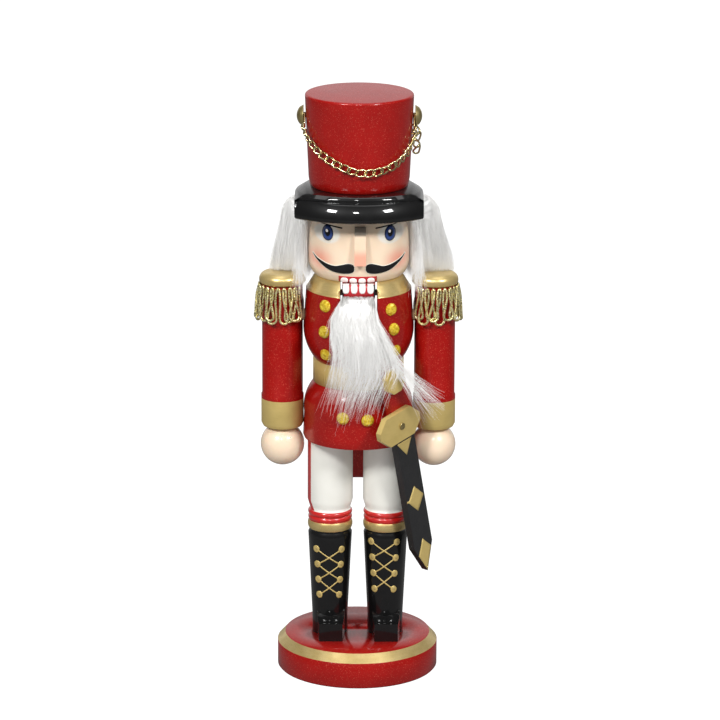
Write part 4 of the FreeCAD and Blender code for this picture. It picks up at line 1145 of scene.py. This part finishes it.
def hairBase():
    rings = []
    reach, inner = hairLook["frontAngle"], hairLook["inner"]
    for angle in np.radians(np.linspace(-reach + 3, reach - 3, 73)):
        end = abs(math.degrees(angle)) / reach
        fat = 0.93 * math.sqrt(max(0.02, 1 - end ** 10))
        clears = brimClearance(angle)
        low = 214.0 if abs(math.sin(angle)) > 0.55 else 216.0
        ring = []
        for z, out in ((243.4, 0.0), (243.7, 0.45), (243.8, 0.66), (243.8 + 4.6 * clears, 0.88),
                       (243.8 + 3.6 * clears, 0.97), (240.0, 0.98), (234.0, 0.98), (226.0, 0.98),
                       (219.0, 0.98), (low + 0.6, 0.92), (low, 0.5), (low + 0.4, 0.0), (226.0, 0.0),
                       (236.0, 0.0)):
            outX, outY = hairOuter(angle, z)
            inX, inY = inner * math.sin(angle), inner * math.cos(angle)
            x, y = inX + (outX - inX) * out * fat, inY + (outY - inY) * out * fat
            ring.append((x, y, belowBrim(x, y, z)))
        rings.append(ring)
    return ringedSolid("hair_base", rings, whiteFur)


dress(hairBase(), "figure", "white_fur", replaces=["hair"])
for order, (name, low, high, side) in enumerate((
        ("hair_left", 42, 98, 1), ("hair_back", -48, 48, 0), ("hair_right", -98, -42, -1))):
    strands = hairStrands(hairLook["strands"], low, high, hairLook["seed"] + order)
    dress(growFur(name, strands, whiteFur), "figure", "white_fur")
    if side:
        lock = neckStrands(side, hairLook["seed"] + 10 + order)
        dress(growFur(name + "_lock", lock, whiteFur, lockLook["thick"]), "figure", "white_fur")


# ---- beard: glued under the teeth, long and thin at its end, blown a little to the figure's left

beardLook = {"strands": 4200, "points": 8, "seed": 3, "top": 204.6, "rootLow": 190.5, "rootHalf": 8.1,
             "rootY": -25.8, "tipFrom": 194.0, "tipFall": 60.0, "lowest": 132.5, "shortest": 14.0,
             "clumps": 7, "clumpDraw": 0.32, "spread": (1.8, 0.5, 0.6),
             "heights": (204.6, 194.5, 186.0, 177.0, 167.0, 160.0, 151.0, 137.0, 129.0),
             "leftEdge": (-9.3, -14.0, -13.6, -11.9, -13.4, -15.0, -17.6, -20.5, -21.5),
             "rightEdge": (8.2, 9.6, 13.4, 17.6, 20.0, 16.0, 12.5, 9.0, 7.0),
             "front": (-28.4, -35.0, -37.4, -38.0, -38.2, -38.0, -37.0, -34.6, -33.0),
             "rear": (-26.2, -29.2, -29.4, -29.6, -29.6, -29.6, -29.8, -30.4, -30.8),
             "core": ((204.0, 0.75), (201.0, 0.8), (196.0, 0.78), (190.0, 0.72), (185.0, 0.66),
                      (180.0, 0.56), (176.0, 0.44), (173.0, 0.3), (171.0, 0.16), (170.0, 0.04)),
             "bendStart": (0, -29, 196), "bendEnd": (0, -33, 152)}
wispLook = {"strands": 110, "thick": 0.2, "root": (7.0, -30.5, 191.0), "rootSpread": (1.2, 0.8, 4.0),
            "bend": (17.5, -36.0, 172.0), "bendSpread": (1.6, 0.9, 3.0),
            "tip": (38.0, -33.0, 149.0), "tipSpread": (4.5, 0.8, 4.5), "tipRange": (24, 44)}
pileLook = {"strands": 700, "thick": 0.2, "x": (-8.4, 8.0), "z": (201.5, 205.2), "y": -25.8,
            "out": 4.2, "down": 4.5}


def beardAt(name, z):
    return np.interp(z, beardLook["heights"][::-1], beardLook[name][::-1])


def beardSpan(z):
    left, right = beardAt("leftEdge", z), beardAt("rightEdge", z)
    return (left + right) / 2, (right - left) / 2


def beardStrands():
    look = beardLook
    chance = np.random.default_rng(look["seed"])
    count, each, clumps = look["strands"], look["points"], look["clumps"]
    side = np.clip(chance.normal(0, 0.52, count), -1, 1)
    depth = chance.uniform(0, 1, count) ** 0.7
    rootZ = look["top"] - (look["top"] - look["rootLow"]) * chance.uniform(0, 1, count) ** 1.3
    tipZ = look["tipFrom"] - look["tipFall"] * chance.beta(1.5, 2.8, count)
    tipZ = tipZ + 2.5 * chance.normal(0, 1, count)
    tipZ = np.clip(tipZ, look["lowest"], rootZ - look["shortest"])
    lines = np.zeros((count, each, 3))
    clumpSide = np.round(side * clumps + chance.uniform(-0.5, 0.5, count)) / clumps
    clumpDepth = np.round(depth * 3) / 3
    for k, t in enumerate(np.linspace(0, 1, each)):
        z = rootZ + (tipZ - rootZ) * t ** 1.1
        drawn = look["clumpDraw"] * t ** 1.6
        middle, half = beardSpan(z)
        x = middle + half * (side + (clumpSide - side) * drawn)
        rear = beardAt("rear", z)
        y = rear + (beardAt("front", z) - rear) * (depth + (clumpDepth - depth) * drawn)
        start = np.clip(t / 0.22, 0, 1) ** 0.8
        lines[:, k, 0] = side * look["rootHalf"] + (x - side * look["rootHalf"]) * start
        lines[:, k, 1] = look["rootY"] + (y - look["rootY"]) * start
        lines[:, k, 2] = z
    spread = chance.normal(0, 1, (count, 1, 3)) * look["spread"]
    return lines + spread * np.linspace(0, 1, each)[None, :, None] ** 2


def wispStrands():
    look, shape, each = wispLook, (wispLook["strands"], 3), beardLook["points"]
    chance = np.random.default_rng(beardLook["seed"] + 1)
    tip, root, bend = (look[name] + chance.normal(0, 1, shape) * look[name + "Spread"]
                       for name in ("tip", "root", "bend"))
    tip[:, 0] = np.clip(tip[:, 0], *look["tipRange"])
    return np.stack([arched(root, bend, tip, t) for t in np.linspace(0, 1, each)], 1)


def pileStrands():
    look, count = pileLook, pileLook["strands"]
    chance = np.random.default_rng(beardLook["seed"] + 2)
    lines = np.zeros((count, 4, 3))
    x, z = chance.uniform(*look["x"], count), chance.uniform(*look["z"], count)
    for k, t in enumerate((0, 0.35, 0.7, 1.0)):
        y = np.full(count, look["y"] - look["out"] * np.sin(t * 1.4))
        lines[:, k] = np.stack([x * (1 + 0.05 * t), y, z - look["down"] * t * t], 1)
        lines[:, k] += chance.normal(0, 0.3, (count, 3)) * t
    return lines


def beardBase():
    rings = []
    for z, fat in beardLook["core"]:
        middle, half = beardSpan(z)
        front, rear = beardAt("front", z), beardAt("rear", z)
        turns = [2 * math.pi * k / 20 for k in range(20)]
        rings.append([(middle + half * fat * math.cos(turn),
                       (front + rear) / 2 + (rear - front) / 2 * fat * math.sin(turn), z)
                      for turn in turns])
    return ringedSolid("beard_base", rings, whiteFur)


beardPieces = [beardBase(), growFur("beard_fur", beardStrands(), whiteFur),
               growFur("beard_wisps", wispStrands(), whiteFur, wispLook["thick"]),
               growFur("beard_roots", pileStrands(), furRootShade, pileLook["thick"])]
bendStart, bendEnd = (tuple(v * mm for v in beardLook[name]) for name in ("bendStart", "bendEnd"))
for piece in beardPieces:
    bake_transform(piece)
    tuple(bendStart)
    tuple(bendEnd)
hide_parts("beard")
print("beard grown")


# ---- floor, lights and camera

studio = {"pale": rgb(0.96, 0.96, 0.96), "dull": rgb(0.10, 0.10, 0.10), "floorGlow": 1.1,
          "floorReflected": 0.10, "backReflected": 0.60, "soft": 0.55, "world": 0.22, "worldGloss": 0.11,
          "floor": (-2.0, 2.0, -2.5, 2.4), "backTop": 2.2, "aim": (0, 0, 0.17),
          "camera": (0.0008, -1.9834, 0.7085), "pitch": 74.668, "roll": 0.24, "lens": 199.5,
          "key": ((-1.2, -1.7, 1.7), 0.42, 39.0), "fill": ((1.3, -1.6, 1.7), 0.42, 37.0),
          "top": ((0.0, 0.1, 2.2), 1.6, 14.0), "middle": ((-0.12, -1.9, 1.6), 0.22, 10.0)}


def seenShare(tree, looked, soft, reflected):
    ray = addNode(tree, "ShaderNodeLightPath")      # white when looked at, softer as light, dim in gloss
    level = ramp(tree, ray.outputs["Is Camera Ray"], 0, 1, reflected, looked)
    more = times(tree, ray.outputs["Is Diffuse Ray"], soft - reflected)
    return plus(tree, level, more)


def stageSheet(name, corners, reflected):
    mesh = bpy.data.meshes.new(name)
    mesh.from_pydata(corners, [], [(0, 1, 2, 3)])
    material, tree, shader, place = newMaterial(name + "_pale", Roughness=0.9, Base_Color=studio["dull"],
                                                Specular_IOR_Level=0.0, Emission_Color=studio["pale"])
    plug(tree, shader.inputs["Emission Strength"],
         seenShare(tree, studio["floorGlow"], studio["soft"], reflected))
    mesh.materials.append(material)
    return putMesh(name, mesh)


left, right, near, far = studio["floor"]
high = studio["backTop"]
floor = stageSheet("studio_floor", [(left, near, 0), (right, near, 0), (right, far, 0), (left, far, 0)],
                   studio["floorReflected"])
back = stageSheet("studio_back", [(left, far, 0), (right, far, 0), (right, far, high), (left, far, high)],
                  studio["backReflected"])

world = bpy.data.worlds.new("studio")
world.use_nodes = True
sky = world.node_tree.nodes["Background"]
sky.inputs["Color"].default_value = rgb(1, 1, 1)
plug(world.node_tree, sky.inputs["Strength"],
     seenShare(world.node_tree, studio["floorGlow"], studio["world"], studio["worldGloss"]))
scene.world = world
for name in ("key", "fill", "top", "middle"):
    spot, reach, power = studio[name]
    lamp = bpy.data.lights.new(name + "_light", "AREA")
    lamp.shape, lamp.size, lamp.energy = "SQUARE", reach, power
    holder = bpy.data.objects.new(name + "_light", lamp)
    holder.location = spot
    holder.rotation_euler = (Vector(studio["aim"]) - Vector(spot)).to_track_quat("-Z", "Y").to_euler()
    scene.collection.objects.link(holder)

camera = bpy.data.objects.new("camera", bpy.data.cameras.new("camera"))
camera.data.lens = studio["lens"]
camera.data.sensor_width = 36
camera.location = studio["camera"]
pitch, roll = (Matrix.Rotation(math.radians(studio[name]), 4, axis)
               for name, axis in (("pitch", "X"), ("roll", "Z")))
camera.rotation_euler = (pitch @ roll).to_euler()
scene.collection.objects.link(camera)
scene.camera = camera
scene.view_settings.view_transform = "Standard"
print("studio lit")
